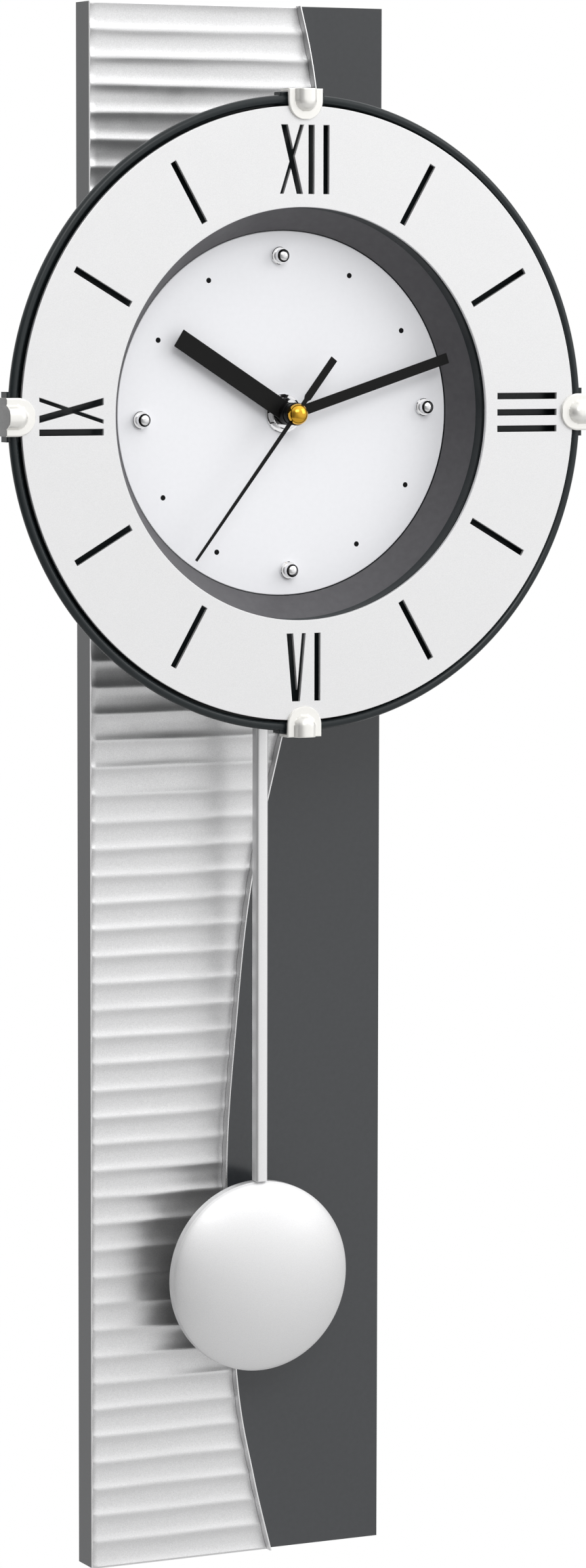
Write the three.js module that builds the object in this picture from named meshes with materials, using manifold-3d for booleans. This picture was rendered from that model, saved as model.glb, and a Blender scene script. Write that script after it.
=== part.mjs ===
// Pendulum wall clock: a tall board with a fluted relief, a round dial unit standing off it on a
// drum, a battery quartz movement inside the drum, and a pendulum that swings behind the movement.
// Millimetres. Origin: centre of the board's back face. +Z up, -Y towards the viewer, +X right.

import * as THREE from 'three';
import { mergeVertices } from 'three/addons/utils/BufferGeometryUtils.js';
import Module from 'manifold-3d';

const wasm = await Module();
wasm.setup();

// ---------------------------------------------------------------- driving dimensions

const GAP = 0.1; // between faces that rest on each other
const RUN = 0.3; // round a shaft or a screw

// board
const BOARD_W = 144;
const BOARD_H = 700;
const BOARD_T = 14;
const BOARD_FRONT = -BOARD_T;
const HUB_Z = 170; // height of the dial axis above the board's centre

// service window in the board, behind the movement (from the dial axis)
const WINDOW = { left: -32, right: 32, low: -36, high: 54 };

// fluted relief
const FLUTE_COUNT = 58;
const FLUTE_PITCH = BOARD_H / FLUTE_COUNT;
const VALLEY_RISE = 0.9;
const RIDGE_RISE = 2.5;

// trim strip along the relief's right border: [x, z] knots of its right face, top to bottom
const TRIM_KNOTS = [
  [29.2, 350],
  [36.5, 316],
  [44.5, 245],
  [44.5, 150],
  [34.5, 75],
  [19.6, 19.8],
  [5.5, -41],
  [-1.9, -102],
  [-7, -178],
  [-1.7, -268],
  [6.6, -314],
  [15.6, -350],
];
const TRIM_T = 0.9;
const TRIM_RISE = 5.5;
const TRIM_STEPS = 36;

// numeral plate
const PLATE_R = 133.6;
const PLATE_HOLE_R = 89.8;
const PLATE_T = 1.8;
const PLATE_FRONT = -82.4;
const SLOT_IN = 95.5;
const SLOT_OUT = 125.3;
const BAR_W = 2.8;

// tray: bead, flange, funnel and floor, as depths behind the plate's front face
const BEAD_R = 136.5;
const BEAD_SECTION_R = 2;
const BEAD_DEPTH = 3.2;
const FLANGE_R = 134.6;
const FLANGE_DEPTH = 7;
const LIP_R = 90.6;
const LIP_DEPTH = 5.4;
const LIP_HEIGHT = 3.2;
const TRAY_T = 1.6;

// inner dial
const DIAL_R = 79.9;
const DIAL_T = 1.2;
const DIAL_FRONT = -61.5;
const DIAL_TURN = -1.9; // degrees, the dial sits slightly turned in its tray
const STUD_R = 69;
const FLOOR_FRONT = DIAL_FRONT + DIAL_T + GAP;
const FLOOR_BACK = FLOOR_FRONT + TRAY_T;
const BUSH_R = 4.8;
const BUSH_BORE_R = 3.3;
const BUSH_FRONT = -65.8;

// drum between tray and board
const TRAY_SCREWS = [[-56.8, 20.7], [56.8, 20.7], [-56.8, -20.7], [56.8, -20.7]];
const DRUM_R = 66;
const DRUM_T = 2.5;
const DRUM_MOUTH_W = 64; // opening at the bottom for the rod
const SCREW_OFFSET = 41; // screws at plus and minus this, across and up, from the dial axis

// movement
const CASE_W = 56;
const CASE_LOW = -28;
const CASE_HIGH = 55;
const CASE_FRONT = FLOOR_BACK + GAP;
const CASE_BACK = -42.6;
const CASE_T = 1.2;
const BATTERY_X = 19.4;
const BATTERY_Z = 0.4;
const BATTERY_R = 7.1;
const BATTERY_L = 50.5;
const BATTERY_Y = -50;

// wheels of the train: arbor places from the dial axis
const THIRD_AT = [0, -9];
const MOTION_AT = [-11, 0];
const INTERMEDIATE_AT = [0, 7.75];
const ROTOR_AT = [-4.77, 12.52];
const WHEEL_T = 0.9;

// front faces of the wheels across Y
const SECOND_WHEEL_Y = -45.7;
const THIRD_WHEEL_Y = -47.3;
const INTERMEDIATE_WHEEL_Y = -49;
const MINUTE_WHEEL_Y = -50.8;
const MOTION_WHEEL_Y = -53;
const HOUR_WHEEL_Y = -55.9;

// tooth counts: wheel, then the pinion that drives it or is driven by it
const SECOND_TEETH = [30, 6];
const THIRD_TEETH = [45, 6];
const MINUTE_TEETH = [48, 8];
const MOTION_TEETH = [24, 8];
const HOUR_TEETH = 32;
const INTERMEDIATE_TEETH = [30, 6];
const ROTOR_TEETH = 5;

// hand tubes, one inside the other: [outer radius, bore radius, front end]
const HOUR_TUBE = [2.95, 2.15, -68.2];
const MINUTE_TUBE = [1.85, 1.05, -73.2];
const SECOND_ARBOR_R = 0.75;
const SECOND_ARBOR_FRONT = -75.6;
const ARBOR_BACK = -44.2; // where the back pivots end, inside the case lid
const TIP_GAP = 0.09; // each wheel's teeth stop this far short of its pitch circle

// hands
const HOUR_ANGLE = 302.2;
const MINUTE_ANGLE = 72.4;
const SECOND_ANGLE = 217.4;
const HOUR_LENGTH = 62.4;
const HOUR_W = 8.4;
const HOUR_Y = -66.4;
const MINUTE_LENGTH = 79.6;
const MINUTE_W = 4.6;
const MINUTE_Y = -71.4;
const SECOND_LENGTH = 79.5;
const SECOND_TAIL = 30.2;
const SECOND_Y = -74.4;
const HAND_T = 0.8;
const CAP_R = 4.6;

// pendulum
const PIVOT_Z = HUB_Z + 46;
const MAGNET_DROP = 20; // lever magnet below the pivot
const PEG_Z = HUB_Z - 36; // peg of the swing lever that the rod hangs on
const ROD_W = 5.8;
const ROD_Y = -38.6;
const BOB_Z = -218;
const BOB_R = 43.2;
const BOB_BACK = -35.2;
const BOB_RIM_FRONT = -39.6;
const BOB_DOME = 9.5;

// hanger
const HANGER_Z = 318;
const HANGER_W = 44;
const HANGER_H = 30;
const HANGER_T = 1.4;
const HANGER_BACK = -1.7; // the plate and its screw heads stay below the board's back face

// ---------------------------------------------------------------- geometry helpers

// Drops what only rendering needs, joins equal vertices and faces the surface outwards.
function closed(geometry) {
  const bare = geometry.clone();
  bare.deleteAttribute('normal');
  bare.deleteAttribute('uv');
  const merged = mergeVertices(bare, 1e-4);
  const p = merged.attributes.position;
  const index = merged.index.array;
  const faces = [];
  let volume = 0;
  const a = new THREE.Vector3();
  const b = new THREE.Vector3();
  const c = new THREE.Vector3();
  for (let i = 0; i < index.length; i += 3) {
    const [i0, i1, i2] = [index[i], index[i + 1], index[i + 2]];
    if (i0 === i1 || i1 === i2 || i0 === i2) continue;
    faces.push(i0, i1, i2);
    a.fromBufferAttribute(p, i0);
    b.fromBufferAttribute(p, i1);
    c.fromBufferAttribute(p, i2);
    volume += a.dot(b.cross(c));
  }
  if (volume < 0) {
    for (let i = 0; i < faces.length; i += 3) {
      [faces[i], faces[i + 1]] = [faces[i + 1], faces[i]];
    }
  }
  merged.setIndex(faces);
  return merged;
}

function toSolid(geometry) {
  const g = closed(geometry);
  const vertProperties = new Float32Array(g.attributes.position.array);
  const triVerts = new Uint32Array(g.index.array);
  return new wasm.Manifold(new wasm.Mesh({ numProp: 3, vertProperties, triVerts }));
}

function toGeometry(solid) {
  const mesh = solid.getMesh();
  const geometry = new THREE.BufferGeometry();
  geometry.setAttribute('position', new THREE.BufferAttribute(mesh.vertProperties, 3));
  geometry.setIndex(new THREE.BufferAttribute(mesh.triVerts, 1));
  geometry.computeVertexNormals();
  return geometry;
}

function join(...geometries) {
  const solids = geometries.map(toSolid);
  return toGeometry(solids.reduce((sum, next) => sum.add(next)));
}

function cut(geometry, ...tools) {
  const start = toSolid(geometry);
  return toGeometry(tools.map(toSolid).reduce((rest, tool) => rest.subtract(tool), start));
}

function common(one, two) {
  return toGeometry(toSolid(one).intersect(toSolid(two)));
}

// A body turned about the Y axis; profile points are [radius, y].
function turned(profile, segments = 32) {
  const points = profile.map(([r, y]) => new THREE.Vector2(r, y));
  return closed(new THREE.LatheGeometry(points, segments));
}

// A closed ring turned about the Y axis: the profile is joined back to its first point.
function turnedRing(profile, segments = 32) {
  return turned([...profile, profile[0]], segments);
}

function disc(radius, front, back, segments = 24) {
  return turned([[0, front], [radius, front], [radius, back], [0, back]], segments);
}

function ring(outer, inner, front, back, segments = 32) {
  return turnedRing([[inner, front], [outer, front], [outer, back], [inner, back]], segments);
}

// A shape drawn in (x, z), given a front and a back face across Y.
function slab(shape, front, back, curveSegments = 12) {
  const depth = back - front;
  const g = new THREE.ExtrudeGeometry(shape, { depth, bevelEnabled: false, curveSegments });
  g.rotateX(Math.PI / 2);
  g.translate(0, back, 0);
  return closed(g);
}

function box(x0, x1, y0, y1, z0, z1) {
  const g = new THREE.BoxGeometry(x1 - x0, y1 - y0, z1 - z0);
  g.translate((x0 + x1) / 2, (y0 + y1) / 2, (z0 + z1) / 2);
  return closed(g);
}

function moved(geometry, x, y, z) {
  return geometry.clone().translate(x, y, z);
}

function polygon(points) {
  return new THREE.Shape(points.map(([x, z]) => new THREE.Vector2(x, z)));
}

// Turns a point about the dial axis, clockwise as the viewer sees it.
function clockwise([x, z], degrees) {
  const a = THREE.MathUtils.degToRad(degrees);
  return [x * Math.cos(a) + z * Math.sin(a), z * Math.cos(a) - x * Math.sin(a)];
}

function mirroredPlaces(offset) {
  return [[-offset, offset], [offset, offset], [-offset, -offset], [offset, -offset]];
}

// ---------------------------------------------------------------- materials and nodes

function paint(color, roughness, metalness = 0) {
  return new THREE.MeshStandardMaterial({ color, roughness, metalness });
}

const ANTHRACITE = paint(0x4e5154, 0.55);
const SILVER = paint(0xd8dadc, 0.4, 0.6);
const PLATE_SILVER = paint(0xe6e6e8, 0.5, 0.3);
const BRIGHT = paint(0xe4e4e2, 0.2, 0.9);
const CHROME = paint(0xf0f0f0, 0.08, 1);
const WHITE = paint(0xf4f4f8, 0.6);
const BLACK = paint(0x1c1c1c, 0.5);
const BRASS = paint(0xe0a92e, 0.15, 1);
const STEEL = paint(0xa9acb0, 0.35, 0.9);
const COPPER = paint(0xb5653a, 0.4, 0.8);
const NYLON = paint(0xe9e6da, 0.55);
const BOARD_GREEN = paint(0x2f6b45, 0.6);
const BATTERY_GREY = paint(0x8f9499, 0.4, 0.5);

function node(parent, name, geometry, material) {
  const mesh = new THREE.Mesh(geometry, material);
  mesh.name = name;
  parent.add(mesh);
  return mesh;
}

function group(parent, x = 0, y = 0, z = 0) {
  const g = new THREE.Group();
  g.position.set(x, y, z);
  parent.add(g);
  return g;
}

// ---------------------------------------------------------------- board, relief and trim

function screwHole(headR, shankR, headDepth, front, back) {
  return join(disc(headR, back - headDepth, back + 1, 16), disc(shankR, front - 1, back, 16));
}

function backboard() {
  const board = box(-BOARD_W / 2, BOARD_W / 2, BOARD_FRONT, 0, -BOARD_H / 2, BOARD_H / 2);
  const window = box(
    WINDOW.left, WINDOW.right, BOARD_FRONT - 1, 1, HUB_Z + WINDOW.low, HUB_Z + WINDOW.high,
  );
  const drumHoles = mirroredPlaces(SCREW_OFFSET).map(([x, z]) =>
    moved(screwHole(4.3, 2.3, 3, BOARD_FRONT, 0), x, 0, HUB_Z + z));
  const pocket = box(
    -HANGER_W / 2 - RUN, HANGER_W / 2 + RUN, HANGER_BACK - HANGER_T - GAP, 1,
    HANGER_Z - HANGER_H / 2 - RUN, HANGER_Z + HANGER_H / 2 + RUN,
  );
  const nailRoom = box(-7, 7, -9, 1, HANGER_Z - 11, HANGER_Z + 11);
  const pilots = [-16, 16].map((x) => moved(disc(1.9, -12, 0, 12), x, 0, HANGER_Z));
  return cut(board, window, ...drumHoles, pocket, nailRoom, ...pilots);
}

// Right border of the relief, as points from top to bottom, moved sideways by an offset.
function borderPoints(offset) {
  const curve = new THREE.SplineCurve(TRIM_KNOTS.map(([x, z]) => new THREE.Vector2(x, z)));
  const points = curve.getPoints(TRIM_STEPS);
  return points.map((p) => [p.x + offset, p.y]);
}

// Scalloped section of the relief: concave flutes that meet in narrow ridges.
function fluteProfile() {
  const points = [[BOARD_FRONT - GAP, BOARD_H / 2], [BOARD_FRONT - GAP, -BOARD_H / 2]];
  const steps = 4;
  for (let i = 0; i <= FLUTE_COUNT * steps; i += 1) {
    const t = (i % steps) / steps;
    const rise = VALLEY_RISE + (RIDGE_RISE - VALLEY_RISE) * (2 * t - 1) ** 2;
    points.push([BOARD_FRONT - rise, -BOARD_H / 2 + (i / steps) * FLUTE_PITCH]);
  }
  return points;
}

function reliefPanel() {
  const section = polygon(fluteProfile());
  const fluted = new THREE.ExtrudeGeometry(section, { depth: BOARD_W, bevelEnabled: false });
  const turn = new THREE.Matrix4().set(0, 0, 1, -BOARD_W / 2, 1, 0, 0, 0, 0, 1, 0, 0, 0, 0, 0, 1);
  fluted.applyMatrix4(turn);
  const border = borderPoints(-TRIM_T - GAP);
  const outline = polygon([[-BOARD_W / 2, BOARD_H / 2], ...border, [-BOARD_W / 2, -BOARD_H / 2]]);
  return cut(common(fluted, slab(outline, BOARD_FRONT - 9, BOARD_FRONT + 1)), drumFootprint());
}

// Round area of the board that the relief and its trim leave free for the drum.
function drumFootprint() {
  return moved(disc(DRUM_R + 1, BOARD_FRONT - 10, BOARD_FRONT + 2, 48), 0, 0, HUB_Z);
}

// The strip is in two lengths, one above the drum and one below it.
function trimStrip(low, high) {
  const outline = polygon([...borderPoints(0), ...borderPoints(-TRIM_T).reverse()]);
  const whole = slab(outline, BOARD_FRONT - TRIM_RISE, BOARD_FRONT - GAP);
  const span = box(-BOARD_W, BOARD_W, BOARD_FRONT - 10, BOARD_FRONT + 1, low, high);
  return cut(common(whole, span), drumFootprint());
}

// ---------------------------------------------------------------- numeral plate

// Strokes of a roman numeral standing at twelve o'clock, as quads of [u, v] points:
// u runs across the numeral and v outwards. Each stroke is given at its foot and its head.
function stroke(foot, head) {
  return [[foot[0], SLOT_IN], [foot[1], SLOT_IN], [head[1], SLOT_OUT], [head[0], SLOT_OUT]];
}

function letterI(u) {
  return [stroke([u, u + BAR_W], [u, u + BAR_W])];
}

function letterX(u) {
  const thick = stroke([u + 8, u + 11], [u + 0.5, u + 3.6]);
  const thin = stroke([u, u + 1.7], [u + 9.6, u + 11.4]);
  return [thick, thin];
}

function letterV(u) {
  const thick = stroke([u + 2.7, u + 5.6], [u, u + 3]);
  const thin = stroke([u + 4.7, u + 6.4], [u + 7.4, u + 9.1]);
  return [thick, thin];
}

// Reads upright at the bottom of the ring, so it is drawn there instead of turned round.
function bottomNumeral(strokes) {
  return strokes.map((quad) => quad.map(([u, v]) => [u, v - SLOT_IN - SLOT_OUT]));
}

function turnedStrokes(strokes, hour) {
  return strokes.map((quad) => quad.map((point) => clockwise(point, hour * 30)));
}

function slots() {
  const bar = letterI(-BAR_W / 2);
  const hourBars = [1, 2, 4, 5, 7, 8, 10, 11].flatMap((hour) => turnedStrokes(bar, hour));
  const twelve = [...letterX(-11.8), ...letterI(1.9), ...letterI(9.1)];
  const three = [-8.65, -BAR_W / 2, 5.85].flatMap(letterI);
  const six = [...letterV(-8.2), ...letterI(5.3)];
  const nine = [...letterI(-8.1), ...letterX(-3.1)];
  return [
    ...hourBars,
    ...twelve,
    ...turnedStrokes(three, 3),
    ...bottomNumeral(six),
    ...turnedStrokes(nine, 9),
  ];
}

function numeralPlate() {
  const back = PLATE_FRONT + PLATE_T;
  const plain = ring(PLATE_R, PLATE_HOLE_R, PLATE_FRONT, back, 72);
  return cut(plain, ...slots().map((quad) => slab(polygon(quad), PLATE_FRONT - 1, back + 1)));
}

// ---------------------------------------------------------------- tray and clips

function trayProfile() {
  const at = (depth) => PLATE_FRONT + depth;
  const bead = [];
  const beadSteps = 6;
  for (let i = 0; i <= beadSteps; i += 1) {
    const a = Math.PI * (1.05 - (1.35 * i) / beadSteps);
    bead.push([
      BEAD_R + BEAD_SECTION_R * Math.cos(a),
      at(BEAD_DEPTH) - BEAD_SECTION_R * Math.sin(a),
    ]);
  }
  return [
    [BUSH_R + RUN, FLOOR_FRONT],
    [DIAL_R + RUN, FLOOR_FRONT],
    [DIAL_R + RUN, DIAL_FRONT - 0.2],
    [LIP_R - 0.6, at(LIP_DEPTH + LIP_HEIGHT)],
    [LIP_R, at(LIP_DEPTH)],
    [LIP_R + 1.6, at(LIP_DEPTH)],
    [LIP_R + 2.2, at(FLANGE_DEPTH)],
    [FLANGE_R, at(FLANGE_DEPTH)],
    ...bead,
    [FLANGE_R + 0.6, at(FLANGE_DEPTH + TRAY_T)],
    [LIP_R + 1.2, at(FLANGE_DEPTH + TRAY_T)],
    [DIAL_R + RUN + TRAY_T, DIAL_FRONT + 0.6],
    [DIAL_R + RUN + TRAY_T, FLOOR_BACK],
    [BUSH_R + RUN, FLOOR_BACK],
  ];
}

// Lug that widens the bead under each clip, at twelve o'clock.
const LUG_HALF_W = 10.7;
const LUG_OUT_R = 139.4;
const LUG_FRONT = PLATE_FRONT + PLATE_T + 0.3;
const LUG_BACK = PLATE_FRONT + 8.4;

function clipLug() {
  return box(-LUG_HALF_W, LUG_HALF_W, LUG_FRONT, LUG_BACK, 134.2, LUG_OUT_R);
}

function dialTray() {
  const lugs = [0, 90, 180, 270].map((angle) =>
    clipLug().rotateY(THREE.MathUtils.degToRad(angle)));
  const bowl = join(turnedRing(trayProfile(), 60), ...lugs);
  const holes = TRAY_SCREWS.map(([x, z]) =>
    moved(disc(1.8, FLOOR_FRONT - 1, FLOOR_BACK + 1, 12), x, 0, z));
  return cut(bowl, ...holes);
}

const CLIP_HALF_W = 8.6;
const CLIP_IN_R = 127.5;
const CLIP_OUT_R = 141.2;
const CLIP_T = 1.5;
const CLIP_BOSS_HALF_W = 4.9;
const CLIP_BOSS_INSET = 3.7; // from the flange's inner end to the boss's
const CLIP_BOSS_RISE = 2.4;
const CLIP_WALL_IN = LUG_OUT_R + RUN;

// D-shaped outline at twelve o'clock: a half round towards the centre, square outwards.
function clipOutline(halfWidth, inner, outer) {
  const shape = new THREE.Shape();
  shape.moveTo(-halfWidth, outer);
  shape.lineTo(-halfWidth, inner + halfWidth);
  shape.absarc(0, inner + halfWidth, halfWidth, Math.PI, 2 * Math.PI, false);
  shape.lineTo(halfWidth, outer);
  shape.closePath();
  return shape;
}

function clip() {
  const plateFace = PLATE_FRONT - GAP;
  const front = plateFace - CLIP_T;
  const flangeShape = clipOutline(CLIP_HALF_W, CLIP_IN_R, CLIP_OUT_R);
  const bossShape = clipOutline(CLIP_BOSS_HALF_W, CLIP_IN_R + CLIP_BOSS_INSET, CLIP_OUT_R);
  const flange = slab(flangeShape, front, plateFace, 8);
  const boss = slab(bossShape, front - CLIP_BOSS_RISE, plateFace - CLIP_T / 2, 8);
  const wall = box(
    -CLIP_HALF_W, CLIP_HALF_W, plateFace - CLIP_T / 2, LUG_BACK, CLIP_WALL_IN, CLIP_OUT_R,
  );
  return join(flange, boss, wall);
}

// ---------------------------------------------------------------- inner dial

function innerDial() {
  return ring(DIAL_R - 0.1, BUSH_R + RUN, DIAL_FRONT, DIAL_FRONT + DIAL_T, 64);
}

function stud() {
  return turned([
    [0, DIAL_FRONT - GAP],
    [3.8, DIAL_FRONT - GAP],
    [3.8, DIAL_FRONT - 1],
    [2.6, DIAL_FRONT - 1.5],
    [2.6, DIAL_FRONT - 2.6],
    [2.9, DIAL_FRONT - 3.2],
    [2.8, DIAL_FRONT - 4.2],
    [1.9, DIAL_FRONT - 5.1],
    [0, DIAL_FRONT - 5.5],
  ], 14);
}

function dialWasher() {
  return ring(8.6, BUSH_R + RUN, DIAL_FRONT - 1.1, DIAL_FRONT - GAP, 24);
}

function dialNut() {
  const front = DIAL_FRONT - 3.6;
  const back = DIAL_FRONT - 1.2;
  const blank = ring(7, BUSH_R + RUN / 2, front, back, 24);
  const slot = box(-8, 8, front - 1, front + 1, -0.8, 0.8);
  return cut(blank, slot, slot.clone().rotateY(Math.PI / 2));
}

// ---------------------------------------------------------------- drum, screws, hanger

const DRUM_FRONT = FLOOR_BACK + GAP;
const DRUM_BACK = BOARD_FRONT - GAP;

function drum() {
  const shell = ring(DRUM_R, DRUM_R - DRUM_T, DRUM_FRONT, DRUM_BACK, 48);
  const feet = mirroredPlaces(SCREW_OFFSET).map(([x, z]) =>
    moved(disc(6, DRUM_FRONT, DRUM_BACK, 16), x, 0, z));
  const webs = mirroredPlaces(1).map(([sx, sz]) => {
    const reach = (DRUM_R - 1) * Math.SQRT1_2;
    const web = polygon([
      [sx * SCREW_OFFSET, sz * (SCREW_OFFSET - 2.4)],
      [sx * (reach + 1.5), sz * (reach - 2)],
      [sx * (reach - 2), sz * (reach + 1.5)],
      [sx * (SCREW_OFFSET - 2.4), sz * SCREW_OFFSET],
    ]);
    return slab(web, DRUM_FRONT, DRUM_BACK);
  });
  const ears = TRAY_SCREWS.map(([x, z]) =>
    moved(disc(4.2, DRUM_FRONT, DRUM_FRONT + 3, 16), x, 0, z));
  const mouth = box(-DRUM_MOUTH_W / 2, DRUM_MOUTH_W / 2, DRUM_FRONT + 6, 0, -DRUM_R - 5, -44);
  const bores = mirroredPlaces(SCREW_OFFSET).map(([x, z]) =>
    moved(disc(2, DRUM_BACK - 12, DRUM_BACK + 1, 12), x, 0, z));
  const earBores = TRAY_SCREWS.map(([x, z]) =>
    moved(disc(1.8, DRUM_FRONT - 1, DRUM_FRONT + 4, 12), x, 0, z));
  return cut(join(shell, ...feet, ...webs, ...ears), mouth, ...bores, ...earBores);
}

// Cross-recessed screw along Y: head at the back, point towards the front.
function screw(headR, headT, shankR, length, headBack) {
  const body = turned([
    [0, headBack - length],
    [shankR, headBack - length + 2],
    [shankR, headBack - headT],
    [headR, headBack - headT],
    [headR, headBack - 0.5],
    [headR * 0.75, headBack],
    [0, headBack],
  ], 12);
  const arm = headR * 0.55;
  const slot = box(-arm, arm, headBack - 0.9, headBack + 1, -0.35, 0.35);
  return cut(body, slot, slot.clone().rotateY(Math.PI / 2));
}

function hangerPlate() {
  const plate = new THREE.Shape();
  plate.moveTo(-HANGER_W / 2, -HANGER_H / 2);
  plate.lineTo(HANGER_W / 2, -HANGER_H / 2);
  plate.lineTo(HANGER_W / 2, HANGER_H / 2);
  plate.lineTo(-HANGER_W / 2, HANGER_H / 2);
  plate.closePath();
  const front = HANGER_BACK - HANGER_T;
  const blank = slab(plate, front, HANGER_BACK);
  const keyhole = join(disc(4.6, front - 1, 1, 20), box(-2.3, 2.3, front - 1, 1, 0, 9));
  const holes = [-16, 16].map((x) => moved(disc(2, front - 1, 1, 12), x, 0, 0));
  return cut(blank, moved(keyhole, 0, 0, -4), ...holes);
}

// ---------------------------------------------------------------- movement

function movementFront() {
  const half = CASE_W / 2;
  const outer = box(-half, half, CASE_FRONT, CASE_BACK - CASE_T - GAP, CASE_LOW, CASE_HIGH);
  const inner = box(
    -half + CASE_T, half - CASE_T, CASE_FRONT + CASE_T, CASE_BACK,
    CASE_LOW + CASE_T, CASE_HIGH - CASE_T,
  );
  const shell = cut(outer, inner);
  const bush = disc(BUSH_R, BUSH_FRONT, CASE_FRONT + 0.6, 24);
  const bore = disc(BUSH_BORE_R, BUSH_FRONT - 1, CASE_FRONT + CASE_T + 1, 24);
  return cut(join(shell, bush), bore);
}

const KNOB_HOLE_R = 2.2;
const BAY = { left: BATTERY_X - 7.6, low: BATTERY_Z - 26, high: BATTERY_Z + 27 }; // in the lid

function movementBack() {
  const half = CASE_W / 2;
  const front = CASE_BACK - CASE_T;
  const lid = box(-half, half, front, CASE_BACK, CASE_LOW, CASE_HIGH);
  const bay = box(BAY.left, half - CASE_T, front - 1, CASE_BACK + 1, BAY.low, BAY.high);
  const knobHole = moved(disc(KNOB_HOLE_R, front - 1, CASE_BACK + 1, 16), ...at3(MOTION_AT));
  const pinHole = moved(disc(1.6, front - 1, CASE_BACK + 1, 16), 0, 0, PIVOT_Z - HUB_Z);
  return cut(lid, bay, knobHole, pinHole);
}

function at3([x, z]) {
  return [x, 0, z];
}

// Wheel with pointed teeth whose tips stop just short of the pitch circle.
function toothed(pitchR, teeth, front, back) {
  const tip = pitchR - TIP_GAP;
  const root = tip - (1.7 * pitchR) / teeth;
  const points = [];
  for (let i = 0; i < teeth * 2; i += 1) {
    const r = i % 2 ? root : tip;
    const a = (Math.PI * i) / teeth;
    points.push([r * Math.cos(a), r * Math.sin(a)]);
  }
  return slab(polygon(points), front, back);
}

function secondWheel() {
  const [teeth, leaves] = SECOND_TEETH;
  return join(
    toothed(6.46, teeth, SECOND_WHEEL_Y, SECOND_WHEEL_Y + WHEEL_T),
    toothed(1.06, leaves, SECOND_WHEEL_Y - 1.9, SECOND_WHEEL_Y + 0.2),
    disc(SECOND_ARBOR_R, SECOND_ARBOR_FRONT, ARBOR_BACK, 12),
  );
}

function minuteWheel() {
  const [outer, bore, front] = MINUTE_TUBE;
  const [teeth, leaves] = MINUTE_TEETH;
  const hollow = disc(bore, front - 1, ARBOR_BACK, 20);
  const tube = ring(outer, bore, front, MINUTE_WHEEL_Y + 1.3, 20);
  const wheel = cut(toothed(8, teeth, MINUTE_WHEEL_Y, MINUTE_WHEEL_Y + WHEEL_T), hollow);
  const pinion = cut(toothed(2.75, leaves, MINUTE_WHEEL_Y - 2.6, MINUTE_WHEEL_Y - 0.8), hollow);
  return join(tube, wheel, pinion);
}

function hourWheel() {
  const [outer, bore, front] = HOUR_TUBE;
  const hollow = disc(bore, front - 1, ARBOR_BACK, 20);
  const tube = ring(outer, bore, front, HOUR_WHEEL_Y + 1.3, 24);
  const wheel = cut(toothed(8.8, HOUR_TEETH, HOUR_WHEEL_Y, HOUR_WHEEL_Y + WHEEL_T), hollow);
  return join(tube, wheel);
}

function thirdWheel() {
  const [teeth, leaves] = THIRD_TEETH;
  return join(
    toothed(7.94, teeth, THIRD_WHEEL_Y, THIRD_WHEEL_Y + WHEEL_T),
    toothed(1, leaves, THIRD_WHEEL_Y - 3.7, THIRD_WHEEL_Y + 0.8),
    disc(0.5, THIRD_WHEEL_Y - 6.9, ARBOR_BACK, 10),
  );
}

function motionWheel() {
  const [teeth, leaves] = MOTION_TEETH;
  return join(
    toothed(8.25, teeth, MOTION_WHEEL_Y, MOTION_WHEEL_Y + WHEEL_T),
    toothed(2.2, leaves, MOTION_WHEEL_Y - 3.1, MOTION_WHEEL_Y + 0.7),
    disc(1, MOTION_WHEEL_Y - 3.5, CASE_BACK + 0.6, 12),
  );
}

function intermediateWheel() {
  const [teeth, leaves] = INTERMEDIATE_TEETH;
  return join(
    toothed(5.79, teeth, INTERMEDIATE_WHEEL_Y, INTERMEDIATE_WHEEL_Y + WHEEL_T),
    toothed(1.29, leaves, INTERMEDIATE_WHEEL_Y + 0.5, ARBOR_BACK - 0.4),
    disc(0.45, INTERMEDIATE_WHEEL_Y - 0.4, ARBOR_BACK, 10),
  );
}

function rotor() {
  const magnetFront = -54.4;
  const magnetBack = -49.9;
  return join(
    disc(2.7, magnetFront, magnetBack, 20),
    toothed(0.96, ROTOR_TEETH, magnetBack - 0.1, magnetBack + 2.1),
    disc(0.4, magnetFront - 2, ARBOR_BACK, 10),
  );
}

function setKnob() {
  const grip = toothed(3.3, 14, CASE_BACK + 0.7, CASE_BACK + 3);
  const bore = disc(1.15, CASE_BACK - 1, CASE_BACK + 2, 12); // blind, for the arbor's end
  return cut(grip, bore);
}

function stator() {
  const plate = box(-26, 0.8, -53, -51.9, 8.4, 17.2);
  const around = moved(disc(3.2, -60, -40, 20), ...at3(ROTOR_AT));
  return cut(plate, around);
}

function motorCoil() {
  const winding = new THREE.CylinderGeometry(3.9, 3.9, 17.4, 16);
  winding.rotateZ(Math.PI / 2);
  winding.translate(-16.9, -50.2, 22.2);
  const cheeks = [-26, -8.6].map((x) => box(x, x + 0.8, -54.6, -45.8, 17.8, 26.6));
  return join(winding, ...cheeks);
}

function pendulumCoil() {
  const core = ring(5.6, 1.6, -47.8, -44.6, 16);
  const cheeks = [-48.6, -44.8].map((y) => ring(6.4, 1.6, y, y + 0.8, 16));
  return join(core, ...cheeks);
}

function circuitBoard() {
  return box(-26, -16.6, -56.2, -55.2, -25, 6);
}

function quartzCrystal() {
  const can = new THREE.CapsuleGeometry(1.5, 5, 3, 10);
  can.rotateX(Math.PI / 2);
  can.translate(-21.5, -53.6, -14);
  return closed(can);
}

// Bent contact leaf at one end of the battery, with a coil or a pip towards it.
function batteryContact(sign) {
  const end = BATTERY_Z + sign * (BATTERY_L / 2);
  const inner = end + sign * 0.25;
  const outer = inner + sign * 0.5;
  const [low, high] = [Math.min(inner, outer), Math.max(inner, outer)];
  return box(BATTERY_X - 4.5, BATTERY_X + 4.5, -55.5, -46, low, high);
}

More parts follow.
